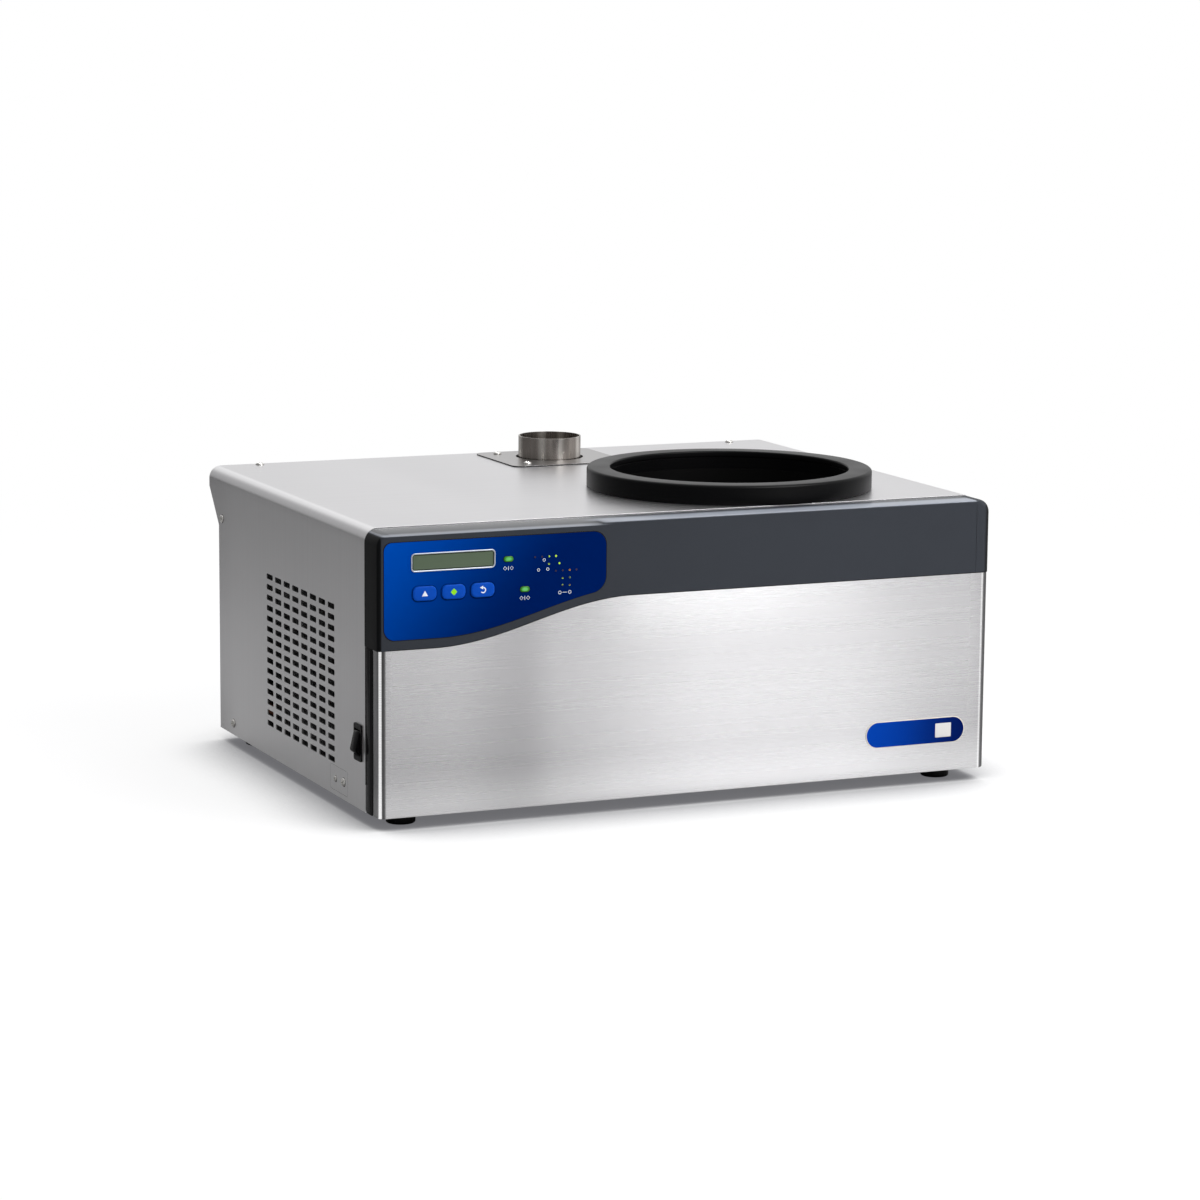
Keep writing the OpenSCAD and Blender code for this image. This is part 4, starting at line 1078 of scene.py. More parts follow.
class Sheet:
    """A sheet on a grid of lines, with a ring of faces round each hole.

    The grid's lines are the given ones and every hole's patch edges. Inside a patch, each corner of the
    patch is joined to the hole's nearest quarter, and each side to the gap between two quarters.
    """

    def __init__(self, u_lines: Floats, v_lines: Floats, holes: Sequence[Hole] = ()) -> None:
        """Lays out the lines.

        Args:
            u_lines: Lines along the first measure.
            v_lines: Lines along the second.
            holes: The holes, whose patches don't overlap.
        """
        self.holes = holes
        self.u = self._merged(u_lines, [(h.u - h.cell[0], h.u + h.cell[0]) for h in holes])
        self.v = self._merged(v_lines, [(h.v - h.cell[1], h.v + h.cell[1]) for h in holes])

    @staticmethod
    def _merged(lines: Floats, edges: Sequence[tuple[float, float]]) -> Array:
        """All lines in order, each once."""
        return np.unique(np.round(np.concatenate([np.ravel(lines), np.ravel(edges)]), 4))

    def _span(self, lines: Array, middle: float, half: float) -> tuple[int, int]:
        """Numbers of the lines at a patch's two edges."""
        return int(np.abs(lines - (middle - half)).argmin()), int(np.abs(lines - (middle + half)).argmin())

    def surface(self, place: Callable[[Array, Array], Array], crossed: bool = False) -> Surface:
        """Builds the sheet.

        Args:
            place: Gives points in space for arrays of the two measures.
            crossed: Whether the brushing runs along the second measure.

        Returns:
            The open surface.
        """
        rows, columns = len(self.u), len(self.v)
        number = np.arange(rows * columns).reshape(rows, columns)
        kept = np.ones((rows - 1, columns - 1), bool)
        u, v = (m.ravel() for m in np.meshgrid(self.u, self.v, indexing="ij"))
        us, vs, faces, start = [u], [v], [], rows * columns
        for hole in self.holes:
            i0, i1 = self._span(self.u, hole.u, hole.cell[0])
            j0, j1 = self._span(self.v, hole.v, hole.cell[1])
            kept[i0:i1, j0:j1] = False
            ring = round_box(hole.w, hole.h, hole.r, steps=hole.steps)[0]
            us.append(hole.u + ring[:, 0])
            vs.append(hole.v + ring[:, 1])
            patch = number[i0:i1 + 1, j0:j1 + 1]
            sides = [patch[::-1, -1], patch[0, ::-1], patch[:, 0], patch[-1]]
            points = start + np.arange(len(ring)).reshape(4, hole.steps + 1)
            for q, side in enumerate(sides):
                corner = np.full(hole.steps, side[0])
                faces += np.stack([corner, points[q, 1:], points[q, :-1]], -1).tolist()
                faces.append([*side.tolist(), int(points[(q + 1) % 4, 0]), int(points[q, -1])])
            start += len(ring)
        i, j = np.nonzero(kept)
        quads = np.stack([number[i, j], number[i + 1, j], number[i + 1, j + 1], number[i, j + 1]], -1)
        u, v = np.concatenate(us), np.concatenate(vs)
        return Surface(place(u, v), quads.tolist() + faces, np.stack([v, u] if crossed else [u, v], -1))


# ---------- Pieces ----------


def stand(name: str, data: bpy.types.ID) -> bpy.types.Object:
    """Puts a mesh, a lamp or a camera into the scene, at the origin.

    Args:
        name: Its name.
        data: The mesh, lamp or camera.

    Returns:
        The object.
    """
    made = bpy.data.objects.new(name, data)
    bpy.context.scene.collection.objects.link(made)
    return made


def mesh_of(name: str, surface: Surface, closed: bool, sharp: float) -> bpy.types.Mesh:
    """Makes the mesh: doubles merged, flat slivers removed and normals outwards.

    Args:
        name: The mesh's name.
        surface: Its points and faces.
        closed: Whether it is a closed shell.
        sharp: Folds over this many degrees stay crisp.

    Returns:
        The mesh, in metres.
    """
    mesh = bpy.data.meshes.new(name)
    mesh.from_pydata((surface.points * MM).tolist(), [], surface.faces)
    if surface.grain is not None:
        corner = np.empty(len(mesh.loops), np.int32)
        mesh.loops.foreach_get("vertex_index", corner)
        layer = mesh.uv_layers.new(name="grain")
        layer.data.foreach_set("uv", (surface.grain[corner] * MM).astype(np.float32).ravel())
    shell = bmesh.new()
    shell.from_mesh(mesh)
    bmesh.ops.remove_doubles(shell, verts=shell.verts, dist=WELD)
    bmesh.ops.dissolve_degenerate(shell, edges=shell.edges, dist=WELD)
    if closed:
        bmesh.ops.recalc_face_normals(shell, faces=shell.faces)
    shell.to_mesh(mesh)
    shell.free()
    mesh.shade_smooth()
    mesh.set_sharp_from_angle(angle=math.radians(sharp))
    return mesh


def finish_piece(
    piece: bpy.types.Object, finish: Finish, body: str, nodes: Sequence[str], slot: str = ""
) -> None:
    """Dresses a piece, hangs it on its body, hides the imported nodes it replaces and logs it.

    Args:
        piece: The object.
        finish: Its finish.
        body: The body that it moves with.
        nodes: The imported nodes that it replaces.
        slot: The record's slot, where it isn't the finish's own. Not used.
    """
    piece.data.materials.clear()
    piece.data.materials.append(material_of(finish))
    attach(piece, body)
    slot or finish.slot
    if nodes:
        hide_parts(*nodes)
    LOG.info("%s: %d faces, %s, on %s", piece.name, len(piece.data.polygons), finish.slot, body)


def add_piece(
    name: str,
    surface: Surface,
    finish: Finish,
    body: str = "casing",
    nodes: Sequence[str] = (),
    wall: float = 0.0,
    edge: float = 0.0,
    edge_steps: int = 2,
    sharp: float = 32.0,
    slot: str = "",
) -> bpy.types.Object:
    """Makes a piece from a surface.

    Args:
        name: The piece's name.
        surface: Its surface.
        finish: Its finish.
        body: The body that it moves with.
        nodes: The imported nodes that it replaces.
        wall: Thickness given inwards to an open sheet, or 0 for a closed shell.
        edge: Radius that breaks its sharp edges.
        edge_steps: Pieces of that radius.
        sharp: Folds over this many degrees stay crisp.
        slot: The record's slot, where it isn't the finish's own.

    Returns:
        The piece.
    """
    piece = stand(name, mesh_of(name, surface, wall == 0.0, sharp))
    if wall:
        solid = piece.modifiers.new("wall", "SOLIDIFY")
        solid.thickness = wall * MM
        solid.offset = -1.0
        solid.use_even_offset = True
    break_edges(piece, edge, edge_steps)
    finish_piece(piece, finish, body, nodes, slot)
    return piece


def break_edges(piece: bpy.types.Object, edge: float, steps: int = 2) -> None:
    """Rounds a piece's sharp edges with a live bevel, if the radius isn't nought.

    Args:
        piece: The piece.
        edge: The radius.
        steps: Pieces of that radius.
    """
    if not edge:
        return
    bevel = piece.modifiers.new("edge", "BEVEL")
    bevel.width = edge * MM
    bevel.segments = steps
    bevel.limit_method = "ANGLE"
    bevel.angle_limit = math.radians(42)
    bevel.harden_normals = True


def refine(node: str, finish: Finish, edge: float = 0.0) -> bpy.types.Object:
    """Stands a merged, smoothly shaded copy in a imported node's place.

    Args:
        node: The node.
        finish: The copy's finish.
        edge: Radius that breaks its sharp edges.

    Returns:
        The copy.
    """
    source = frame["nodes"][node]
    mesh = source.data.copy()
    shell = bmesh.new()
    shell.from_mesh(mesh)
    bmesh.ops.remove_doubles(shell, verts=shell.verts, dist=WELD)
    bmesh.ops.dissolve_limit(shell, angle_limit=math.radians(0.4), verts=shell.verts, edges=shell.edges)
    shell.to_mesh(mesh)
    shell.free()
    for layer in [a.name for a in mesh.attributes if a.name == "custom_normal"]:
        mesh.attributes.remove(mesh.attributes[layer])
    mesh.shade_smooth()
    mesh.set_sharp_from_angle(angle=math.radians(32))
    piece = stand(f"{node}_form", mesh)
    break_edges(piece, edge)
    finish_piece(piece, finish, source["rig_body"], [node])
    return piece


def limits(node: str) -> tuple[Array, Array]:
    """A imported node's lowest and highest corner, in millimetres."""
    low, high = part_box(node)
    return np.array(low) / MM, np.array(high) / MM


def centre_of(node: str) -> Array:
    """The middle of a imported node's box, in millimetres."""
    low, high = limits(node)
    return (low + high) / 2


def front_of(node: str) -> tuple[float, float, float, float]:
    """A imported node's width and height, and its middle's X and Z.

    Args:
        node: The node.

    Returns:
        The four measures.
    """
    low, high = limits(node)
    x, _, z = centre_of(node)
    return high[0] - low[0], high[2] - low[2], x, z


# ---------- Casing ----------


@dataclass
class Grille:
    """A field of upright rows of slots.

    Args:
        columns, rows: How many slots.
        slot: Length and height of a slot.
        radius: Its corner radius.
        pitch: Spacing along and across.
    """

    columns: int = 8
    rows: int = 15
    slot: tuple[float, float] = (23.5, 6.8)
    radius: float = 2.0
    pitch: tuple[float, float] = (32.84, 13.56)

    def holes(self, right: float, top: float) -> list[Hole]:
        """The slots, counted down from and to the left of the top right corner.

        The sheet's first measure runs upwards.

        Args:
            right: Right edge of the field.
            top: Its top edge.

        Returns:
            The holes.
        """
        (w, h), (across, up) = self.slot, self.pitch
        cell = (up / 2, across / 2)
        return [
            Hole(top - h / 2 - row * up, right - w / 2 - column * across, h, w, self.radius, cell)
            for column in range(self.columns)
            for row in range(self.rows)
        ]


@dataclass
class Casing:
    """The stainless cover, the front and rear panels, the base pan, the trims and the feet.

    Args:
        sheet: Thickness of the sheet.
        bend: Outer radius of the cover's two long bends.
        slope_low, slope_high: Where the rear slope starts and ends.
        step: How far the lower rear panel stands in from the rear edge.
        vent_rear, vent_top: Rear and top edge of the side grille.
        rear_vent_x, rear_vent_top: Right and top edge of the rear grille.
        panel_bend: Corner radius of the front panel.
        hem: How far the front panel turns under at its foot.
        corner_low_left, corner_low_right: Height of the bezel's lower edge at each side.
    """

    sheet: float = 1.5
    bend: float = 16.0
    slope_low: float = 288.0
    slope_high: float = 335.0
    step: float = 39.0
    vent_rear: float = 87.2
    vent_top: float = 252.5
    rear_vent_x: float = 30.0
    rear_vent_top: float = 250.0
    panel_bend: float = 9.0
    hem: float = 4.5
    corner_low_left: float = 219.3
    corner_low_right: float = 267.8

    def cover(self) -> None:
        """Folds the section left side, top, right side and carries it from front to rear.

        Behind a line in front of the rear edge, a point moves back in proportion to the room that the
        side's outline leaves at its height.
        """
        low, high = limits("cover")
        foot, top = ((low[0], low[2]), (high[0], low[2])), ((low[0], high[2]), (high[0], high[2]))
        section = Section([foot[0], *top, foot[1]], self.bend, 12)
        keep_y, rear = 130.0, high[1]
        _, switch_y, switch_z = centre_of("switch_housing")
        holes = Grille().holes(self.vent_rear, self.vent_top - low[2])
        holes.append(Hole(switch_z - low[2], switch_y, 41.2, 23.0, 1.0, (23.0, 13.5)))
        middle = section.distance(1, high[2]) - (low[0] + self.bend)
        for node, r, margin, steps in (("chamber", 158.0, 6.0, 24), ("port_tube", 47.0, 3.0, 12)):
            x, y, _ = centre_of(node)
            holes.append(Hole(middle + x, y, 2 * r, 2 * r, r, (r + margin, r + margin), steps))
        slope = (self.slope_low, self.slope_high)
        ends = [section.distance(1, z, last) for z in slope for last in (False, True)]
        lines = np.concatenate([section.lines, ends, [section.lines[-1] / 2]])

        def place(s: Array, y: Array) -> Array:
            """Section at s, with y drawn in behind the side's rear outline.

            Args:
                s: Distances along the section.
                y: Places along Y.

            Returns:
                The points in space.
            """
            x, z = section.at(s)
            inner = np.interp(z, slope, [rear - self.step, rear])
            room = (inner - keep_y) / (rear - keep_y)
            back = keep_y + (y - keep_y) * room
            return np.stack([x, np.where(y > keep_y, back, y), z], -1)

        sheet = Sheet(lines, [low[1], keep_y, (keep_y + rear) / 2, rear], holes).surface(place)
        add_piece("cover_sheet", sheet, Finishes.COVER, nodes=["cover"], wall=self.sheet, edge=0.2)

    def front_panel(self) -> None:
        """Carries the plan of the face and its two round corners up from a turned-in hem."""
        low, high = limits("front_panel")
        front = [(x, low[1]) for x in (low[0], high[0])]
        plan = Section([(low[0], high[1]), *front, (high[0], high[1])], self.panel_bend, 8)
        fold = 2.0
        up = Section([(self.hem, low[2]), (0.0, low[2]), (0.0, high[2])], fold, 5)
        start = up.lines[-2]
        kept = low[2] + 10.0
        left, right = low[0] + 15.5, high[0] - 25.5
        steps = [plan.distance(0, x) for x in (left, left + 1, right - 1, right)]
        board = plan.distance(0, centre_of("control_board")[0] + 2.0)
        hole = Hole(board, CONSOLE_Z - low[2] + start - fold, 226.0, 68.0, 2.0, (118.0, 36.0))

        def place(s: Array, v: Array) -> Array:
            """Plan at s, moved in by the hem's share, at a height cut down under the bezel's corners.

            Args:
                s: Distances along the plan.
                v: Distances up the sheet.

            Returns:
                The points in space.
            """
            x, y = plan.at(s)
            inset, z = up.at(v)
            side = np.where(x < 0, self.corner_low_left, self.corner_low_right)
            top = np.where((x < left + 0.5) | (x > right - 0.5), side, high[2])
            z = np.where(z > kept, kept + (z - kept) * (top - kept) / (high[2] - kept), z)
            flat = np.stack([x, y], -1)
            away = flat - np.stack([np.clip(x, low[0] + 6, high[0] - 6), np.maximum(y, low[1] + 6)], -1)
            length = np.maximum(np.linalg.norm(away, axis=-1, keepdims=True), 1e-6)
            return np.concatenate([flat - away / length * inset[..., None], z[..., None]], -1)

        lines = np.concatenate([up.lines, [start + 8.0]])
        sheet = Sheet(np.concatenate([plan.lines, steps]), lines, [hole]).surface(place)
        add_piece("front_sheet", sheet, Finishes.PANEL, nodes=["front_panel"], wall=self.sheet, edge=0.3)

    def rear_panel(self) -> None:
        """Carries the stepped rear section from side to side, with its grille and cut-outs."""
        low, high = limits("rear_panel")
        inner, top = high[1] - self.step + 0.3, high[2] - 1.6
        lower = [(inner, low[2]), (inner, self.slope_low)]
        upper = [(high[1], self.slope_high), (high[1], top), (high[1] - 24, top)]
        section = Section(lower + upper, 2.5, 5)
        holes = Grille(rows=9).holes(self.rear_vent_x, self.rear_vent_top - low[2])
        inlet = centre_of("power_inlet")[0]
        holes += [Hole(z - low[2], inlet, 28.0, 40.0, 1.0, (17.0, 24.0)) for z in (80.0, 150.0)]
        for node, z, r in (("vacuum_outlet", 220.0, 12.9), ("drain_barb", 38.0, 7.2)):
            holes.append(Hole(z - low[2], centre_of(node)[0], 2 * r, 2 * r, r, (r + 2, r + 2), 8))

        def place(s: Array, x: Array) -> Array:
            """Section at s, straight across.

            Args:
                s: Distances along the section.
                x: Places along X.

            Returns:
                The points in space.
            """
            y, z = section.at(s)
            margin = np.interp(z, [high[2] - 14, top], [0.0, 11.0])
            return np.stack([np.clip(x, low[0] + margin, high[0] - margin), y, z], -1)

        sheet = Sheet(section.lines, [low[0], 0.0, high[0]], holes).surface(place, crossed=True)
        add_piece("rear_sheet", sheet, Finishes.STAINLESS, nodes=["rear_panel"], wall=self.sheet, edge=0.3)

    def trims(self) -> None:
        """Two black corner strips, each a flat strip with round corners and a narrow rib along it."""
        for side, node in ((-1, "corner_trim_left"), (1, "corner_trim_right")):
            low, high = limits(node)
            _, depth, height = high - low
            facing, outer = (Facing.LEFT, low[0]) if side < 0 else (Facing.RIGHT, high[0])
            origin = (outer, *centre_of(node)[1:])
            profile = [(0.0, -1.1), (0.0, -0.45), (0.15, -0.15), (0.5, 0.0)]
            strip = loft((depth, height, 5.5), profile, facing, origin)
            groove = (origin[0] - side * 0.02, low[1] + depth * 0.42, origin[2])
            rib = loft((2.2, height - 8, 1.0), [(0.0, -0.3), (0.0, 0.12), (0.4, 0.3)], facing, groove)
            add_piece(f"{node}_strip", strip, Finishes.BLACK_GLOSS, nodes=[node], slot="black_plastic")
            add_piece(f"{node}_rib", rib, Finishes.BLACK)

    def outline(self) -> None:
        """The thin scored outline of the plate low on the left side, behind its two screws."""
        seat = (limits("cover")[0][0], -181.0, 37.5)
        line = [(0.0, -0.2), (0.0, 0.04), (0.2, 0.04), (0.2, -0.2)]
        ring = loft((62.0, 31.0, 3.0), line, Facing.LEFT, seat, hollow=True)
        add_piece("side_plate_line", ring, Finishes.CHARCOAL)

    def feet(self) -> None:
        """Four turned rubber feet with a rounded rim and a recessed screw."""
        for node in ("foot_front_left", "foot_front_right", "foot_rear_left", "foot_rear_right"):
            low, high = limits(node)
            middle = (*centre_of(node)[:2], 0.0)
            r, h = (high[0] - low[0]) / 2, high[2] - low[2]
            rim = arc((r - 2.5, 2.5), 2.5, -90, 0) + arc((r - 1.0, h - 1.0), 1.0, 0, 90, 3)
            bore = [(3.2, h), (3.2, 8.0), (7.0, 8.0), (7.0, 0.6), (7.6, 0.0)]
            foot = revolve(rim + bore, Facing.UP, middle, 48)
            add_piece(f"{node}_rubber", foot, Finishes.RUBBER, nodes=[node])

    def build(self) -> None:
        """Makes every piece of the casing."""
        self.cover()
        self.front_panel()
        self.rear_panel()
        self.trims()
        self.outline()
        self.feet()
        refine("base_pan", Finishes.ZINC, 0.4)


# ---------- Bezel and console ----------


@dataclass
class Bezel:
    """The moulded front bezel with its S-shaped lower edge, and the end cap on its right.

    Args:
        wall: Thickness of the moulding.
        roll: Radius of the long upper front edge.
        shoulder: Radius over the two ends, the same as the cover's bend.
        left_r, right_r: Radii of the upright corners.
        low, band: Height of the lower edge at the left and at the right.
        rise: Where the lower edge starts to rise and how long the rise is.
        console_end: Right end of the sloping top of the console.
        ease: Length over which the slope dies out.
        chamfer: Depth and height of that slope.
        joint: Where the end cap starts.
        gap: Width of the joint.
        window: Ends of the window behind the console.
        seam: Open seam between the moulding and the cover.
        core: Height above which the rows are level.
    """

    wall: float = 2.0
    roll: float = 2.5
    shoulder: float = 16.0
    left_r: float = 5.0
    right_r: float = 14.0
    low: float = 219.5
    band: float = 268.0
    rise: tuple[float, float] = (-342.0, 260.0)
    console_end: float = -127.0
    ease: float = 9.0
    chamfer: tuple[float, float] = (14.0, 4.0)
    joint: float = 390.0
    gap: float = 0.4
    window: tuple[float, float] = (-376.0, -149.999)
    seam: float = 0.6
    core: float = 271.0

    def edge(self, x: Array) -> Array:
        """Height of the lower edge: level, half a cosine wave up, and level again."""
        share = np.clip((np.asarray(x, float) - self.rise[0]) / self.rise[1], 0, 1)
        return self.low + (self.band - self.low) * (1 - np.cos(np.pi * share)) / 2

    def _plan(self, half: float, front: float, back: float, from_x: float, to_x: float) -> Array:
        """The plan as rows, each a kind of line and its measure.

        The kinds are 0 for the left side, 1 its corner, 2 the front, 3 the right corner and 4 the right side.
        A side is measured by Y, a corner by its angle and the front by X.

        Args:
            half: Half the bezel's width.
            front, back: Y of its face and of its rear edge.
            from_x, to_x: Ends of the front's run.

        Returns:
            The rows.
        """
        rise = np.linspace(self.rise[0], sum(self.rise), 49)
        step = self.console_end + np.linspace(0.0, self.ease, 5)
        others = [from_x, to_x, -395.0, self.window[0], self.window[0] + 2.0, -200.0, 0.0, 150.0, 300.0]
        xs = np.unique(np.concatenate([rise, step, others]))
        xs = xs[(xs >= from_x) & (xs <= to_x)]
        rows = []
        if from_x <= -half + self.left_r:
            rows += [(0, back), (0, (back + front) / 2), (0, front + self.left_r)]
            rows += [(1, a) for a in np.linspace(180, 270, 9)[1:]]
        rows += [(2, x) for x in xs]
        if to_x >= half - self.right_r:
            rows += [(3, a) for a in np.linspace(270, 360, 13)[1:]]
            rows += [(4, y) for y in (front + (back - front) * 0.7, back)]
        return np.array(rows, float)

    def surface(self, from_x: float, to_x: float, holes: bool) -> Surface:
        """The moulding between two upright joints.

        At each height the plan is a box with two round front corners. Its ends draw in over the shoulder
        radius and its front over the roll radius. Above the top, the plan runs level to the back edge. The
        console's slope lowers every point above it.

        Args:
            from_x, to_x: The joints, or places past the ends.
            holes: Whether the window behind the console is cut out.

        Returns:
            The open surface.
        """
        low_corner, high_corner = limits("front_bezel")
        half, front, back, top = -low_corner[0], low_corner[1], high_corner[1] - self.seam, high_corner[2]
        inner, outer = half - self.left_r, half - self.right_r
        rows = self._plan(half, front, back, max(from_x, -inner), min(to_x, outer))
        bend = np.sin(np.radians(np.linspace(0, 90, 10)))
        heights = [top - radius + radius * bend for radius in (self.shoulder, self.roll)]
        lower = np.linspace(self.band - 60.0, self.core, 6)
        v_lines = np.concatenate([lower, *heights, top + np.array([1.0, 2.0])])
        u_lines = np.arange(len(rows), dtype=float)

        def place(u: Array, v: Array) -> Array:
            """The rule of the docstring above, for row numbers and heights.

            Args:
                u: Row numbers.
                v: Heights.

            Returns:
                The points in space.
            """
            near = np.clip(np.floor(u).astype(int), 0, len(rows) - 1)
            far = np.clip(near + 1, 0, len(rows) - 1)
            kind = rows[near, 0]
            same = rows[far, 0] == kind
            measure = rows[near, 1] + np.where(same, (rows[far, 1] - rows[near, 1]) * (u - near), 0.0)
            z = np.minimum(v, top)
            side, draw = (
                radius - np.sqrt(np.maximum(radius**2 - np.clip(z - (top - radius), 0, None) ** 2, 0))
                for radius in (self.shoulder, self.roll)
            )
            end, face = half - side, front + draw
            turn = np.radians(measure)
            left, right = -end + self.left_r, end - self.right_r
            kinds = [kind == number for number in range(4)]
            x = np.select(kinds, [
                -end,
                left + self.left_r * np.cos(turn),
                np.clip(measure, left, right),
                right + self.right_r * np.cos(turn),
            ], end)
            radii = (self.left_r, self.right_r)
            sides = [np.where(measure < back, np.maximum(measure, face + radius), back) for radius in radii]
            y = np.select(kinds, [
                sides[0],
                face + self.left_r + self.left_r * np.sin(turn),
                face,
                face + self.right_r + self.right_r * np.sin(turn),
            ], sides[1])
            low = np.select([kind < 2, kind == 2], [self.low, self.edge(measure)], self.band)
            share = (v - lower[0]) / (self.core - lower[0])
            z = np.where(v < self.core, low + share * (self.core - low), z)
            past = np.clip((v - top) / 2.0, 0, 1)
            y = y + (back - y) * past
            slope = self.chamfer[1] / self.chamfer[0]
            cut = top - self.chamfer[1] + slope * (y - front)
            console = np.clip((self.console_end + self.ease - x) / self.ease, 0, 1)
            console = console * console * (3 - 2 * console)
            z = z + (np.minimum(z, cut) - z) * console
            return np.stack([x, y, z], -1)

        windows = []
        if holes:
            front_row = rows[:, 0] == 2
            left, right = (float(np.flatnonzero(front_row & (rows[:, 1] >= x))[0]) for x in self.window)
            cell = ((right - left) / 2, 35.0)
            windows = [Hole((left + right) / 2, CONSOLE_Z, right - left - 1.0, 67.0, 0.4, cell, 1)]
        return Sheet(u_lines, v_lines, windows).surface(place)

    def build(self) -> None:
        """Makes the bezel and its end cap."""
        main = self.surface(-1000.0, self.joint - self.gap / 2, True)
        cap = self.surface(self.joint + self.gap / 2, 1000.0, False)
        finish, wall = Finishes.CHARCOAL, self.wall
        add_piece("bezel_moulding", main, finish, nodes=["front_bezel"], wall=wall, edge=0.7, edge_steps=3)
        add_piece("bezel_end_moulding", cap, finish, nodes=["bezel_end_cap"], wall=wall, edge=0.5)
        # A thin black strip along the lower edge paints the shadow line under the bezel.
        x = np.linspace(-400.0, 404.0, 120)[None]
        front = limits("front_bezel")[0][1]
        y = front + np.array([0.3, -0.06, -0.06, 0.3])[:, None] + 0 * x
        z = self.edge(x) + np.array([0.05, 0.05, 1.0, 1.0])[:, None]
        painted_line = grid(np.stack([x + 0 * z, y, z], -1), close_u=True)
        add_piece("bezel_shadow_strip", painted_line, Finishes.BLACK)


@dataclass
class Console:
    """The console on the bezel: overlay, display, keys, lamps, printed signs and the board behind.

    Args:
        bezel: The bezel, whose lower edge it follows.
        film: Thickness of the overlay above the bezel.
        corners: Radii of the overlay's upper left and upper right corners.
        margin: Distance of its lower edge above the bezel's.
        names: The keys.
        key_r: Corner radius of a key.
        flange: Width of its hidden flange.
        signs: Height of the printed signs.
        ink: Thickness of print.
    """

    bezel: Bezel
    film: float = 0.4
    corners: tuple[float, float] = (10.0, 17.0)
    margin: float = 12.5
    names: tuple[str, ...] = ("key_up", "key_select", "key_return")
    key_r: float = 7.0
    flange: float = 1.2
    signs: float = 8.2
    ink: float = 0.06

    def overlay(self) -> None:
        """Fills between a lower and an upper edge that are both functions of X.

        Left of a reference line the rows keep their heights between the lowest and highest openings. Right
        of it they share out the room between the two edges.
        """
        low, high = limits("control_overlay")
        left, right, top, front = low[0], high[0], high[2], low[1]
        start, end = left + 14.0, right - 16.0
        foot, core_low, core_high, reference = 232.0, 276.6, 336.0, -214.0
        base = self.bezel.edge(start - 6) + self.margin
        last = self.bezel.edge(end - 6) + self.margin

        def lower(x: Array) -> Array:
            """Lower edge: a quarter round, the bezel's curve and a longer quarter round.

            Args:
                x: Places along X.

            Returns:
                The heights.
            """
            reach = np.clip((start - x) / 14.0, 0, 1)
            turn = np.arcsin(np.clip((x - end) / 16.0, 0, 1))
            middle = self.bezel.edge(np.clip(x, start, end) - 6) + self.margin
            z = np.where(x < start, base + 14.0 * (1 - np.sqrt(1 - reach**2)), middle)
            return np.where(x > end, last + 12.0 / np.pi * turn + 14.0 * (1 - np.cos(turn)), z)

        def upper(x: Array) -> Array:
            """Upper edge: straight, with a quarter round at each end.

            Args:
                x: Places along X.

            Returns:
                The heights.
            """
            a = np.clip((left + self.corners[0] - x) / self.corners[0], 0, 1)
            b = np.clip((x - right + self.corners[1]) / self.corners[1], 0, 1)
            a, b = 1 - np.sqrt(1 - a**2), 1 - np.sqrt(1 - b**2)
            return top - self.corners[0] * a - self.corners[1] * b

        def place(x: Array, v: Array) -> Array:
            """Between the two edges, with the core rows level on the left.

            Args:
                x: Places along X.
                v: Heights of the rows.

            Returns:
                The points in space.
            """

            def level(z0: Array, z1: Array) -> Array:
                """Heights of the rows between a lower and an upper edge.

                Args:
                    z0, z1: Heights of the two edges.

                Returns:
                    The heights.
                """
                under = z0 + (v - foot) / (core_low - foot) * (core_low - z0)
                over = core_high + (v - core_high) / (top - core_high) * (z1 - core_high)
                return np.select([v < core_low, v > core_high], [under, over], v)

            z0, z1 = lower(x), upper(x)
            r0, r1 = lower(np.array(reference)), upper(np.array(reference))
            share = (level(r0, r1) - r0) / (r1 - r0)
            z = np.where(x > reference, z0 + share * (z1 - z0), level(z0, z1))
            return np.stack([x, np.full_like(x, front), z], -1)

        holes = []
        for w, h, x, z, _ in self.pads:
            w, h = w + 0.7, h + 0.7
            holes.append(Hole(x, z, w, h, self.key_r + 0.35, (w / 2 + 0.7, h / 2 + 0.4), 6))
        bow = 1 - np.sin(np.linspace(0, np.pi / 2, 10))
        middle_lines = np.linspace(start, end, 40)
        x_lines = np.concatenate([left + 14 * bow, right - 17 * bow, middle_lines, [reference]])
        rows = [foot, 250.0, core_low, 305.0, core_high, 343.0, top]
        surface = Sheet(x_lines, rows, holes).surface(place)
        film = replace(
            Finishes.FILM,
            pads=tuple((x, z) for _, _, x, z, _ in self.pads),
            pad=(self.pads[0][0] / 2, self.pads[0][1] / 2),
        )
        add_piece("console_film", surface, film, nodes=["control_overlay"], wall=self.film, edge=0.12)
        x = left + (right - left) * (1 - np.cos(np.linspace(0, np.pi, 140))) / 2
        loop = np.concatenate([np.stack([x, lower(x)], -1), np.stack([x, upper(x)], -1)[::-1]])
        middle = (loop.max(0) + loop.min(0)) / 2
        size = loop.max(0) - loop.min(0)
        grown, shrunk = (middle + (loop - middle) * (1 + 2 * growth / size) for growth in (0.85, -1.2))
        depth = np.array([-0.5, -0.2, -0.2, -0.5])[:, None]
        ring = Facing.FRONT.place((0.0, front, 0.0), np.stack([grown, grown, shrunk, shrunk]), depth)
        add_piece("console_border", grid(ring, close_u=True, close_v=True), Finishes.BLACK)

    @functools.cached_property
    def pads(self) -> list[tuple[float, float, float, float, float]]:
        """Each key's pad without its hidden flange: width, height, its middle's X and Z, and its face's Y.

        Returns:
            One row for each key.
        """
        made = []
        for node in self.names:
            low, high = limits(node)
            w, _, h = (high - low - 2 * self.flange).tolist()
            x, _, z = centre_of(node).tolist()
            made.append((w, h, x, z, float(low[1])))
        return made

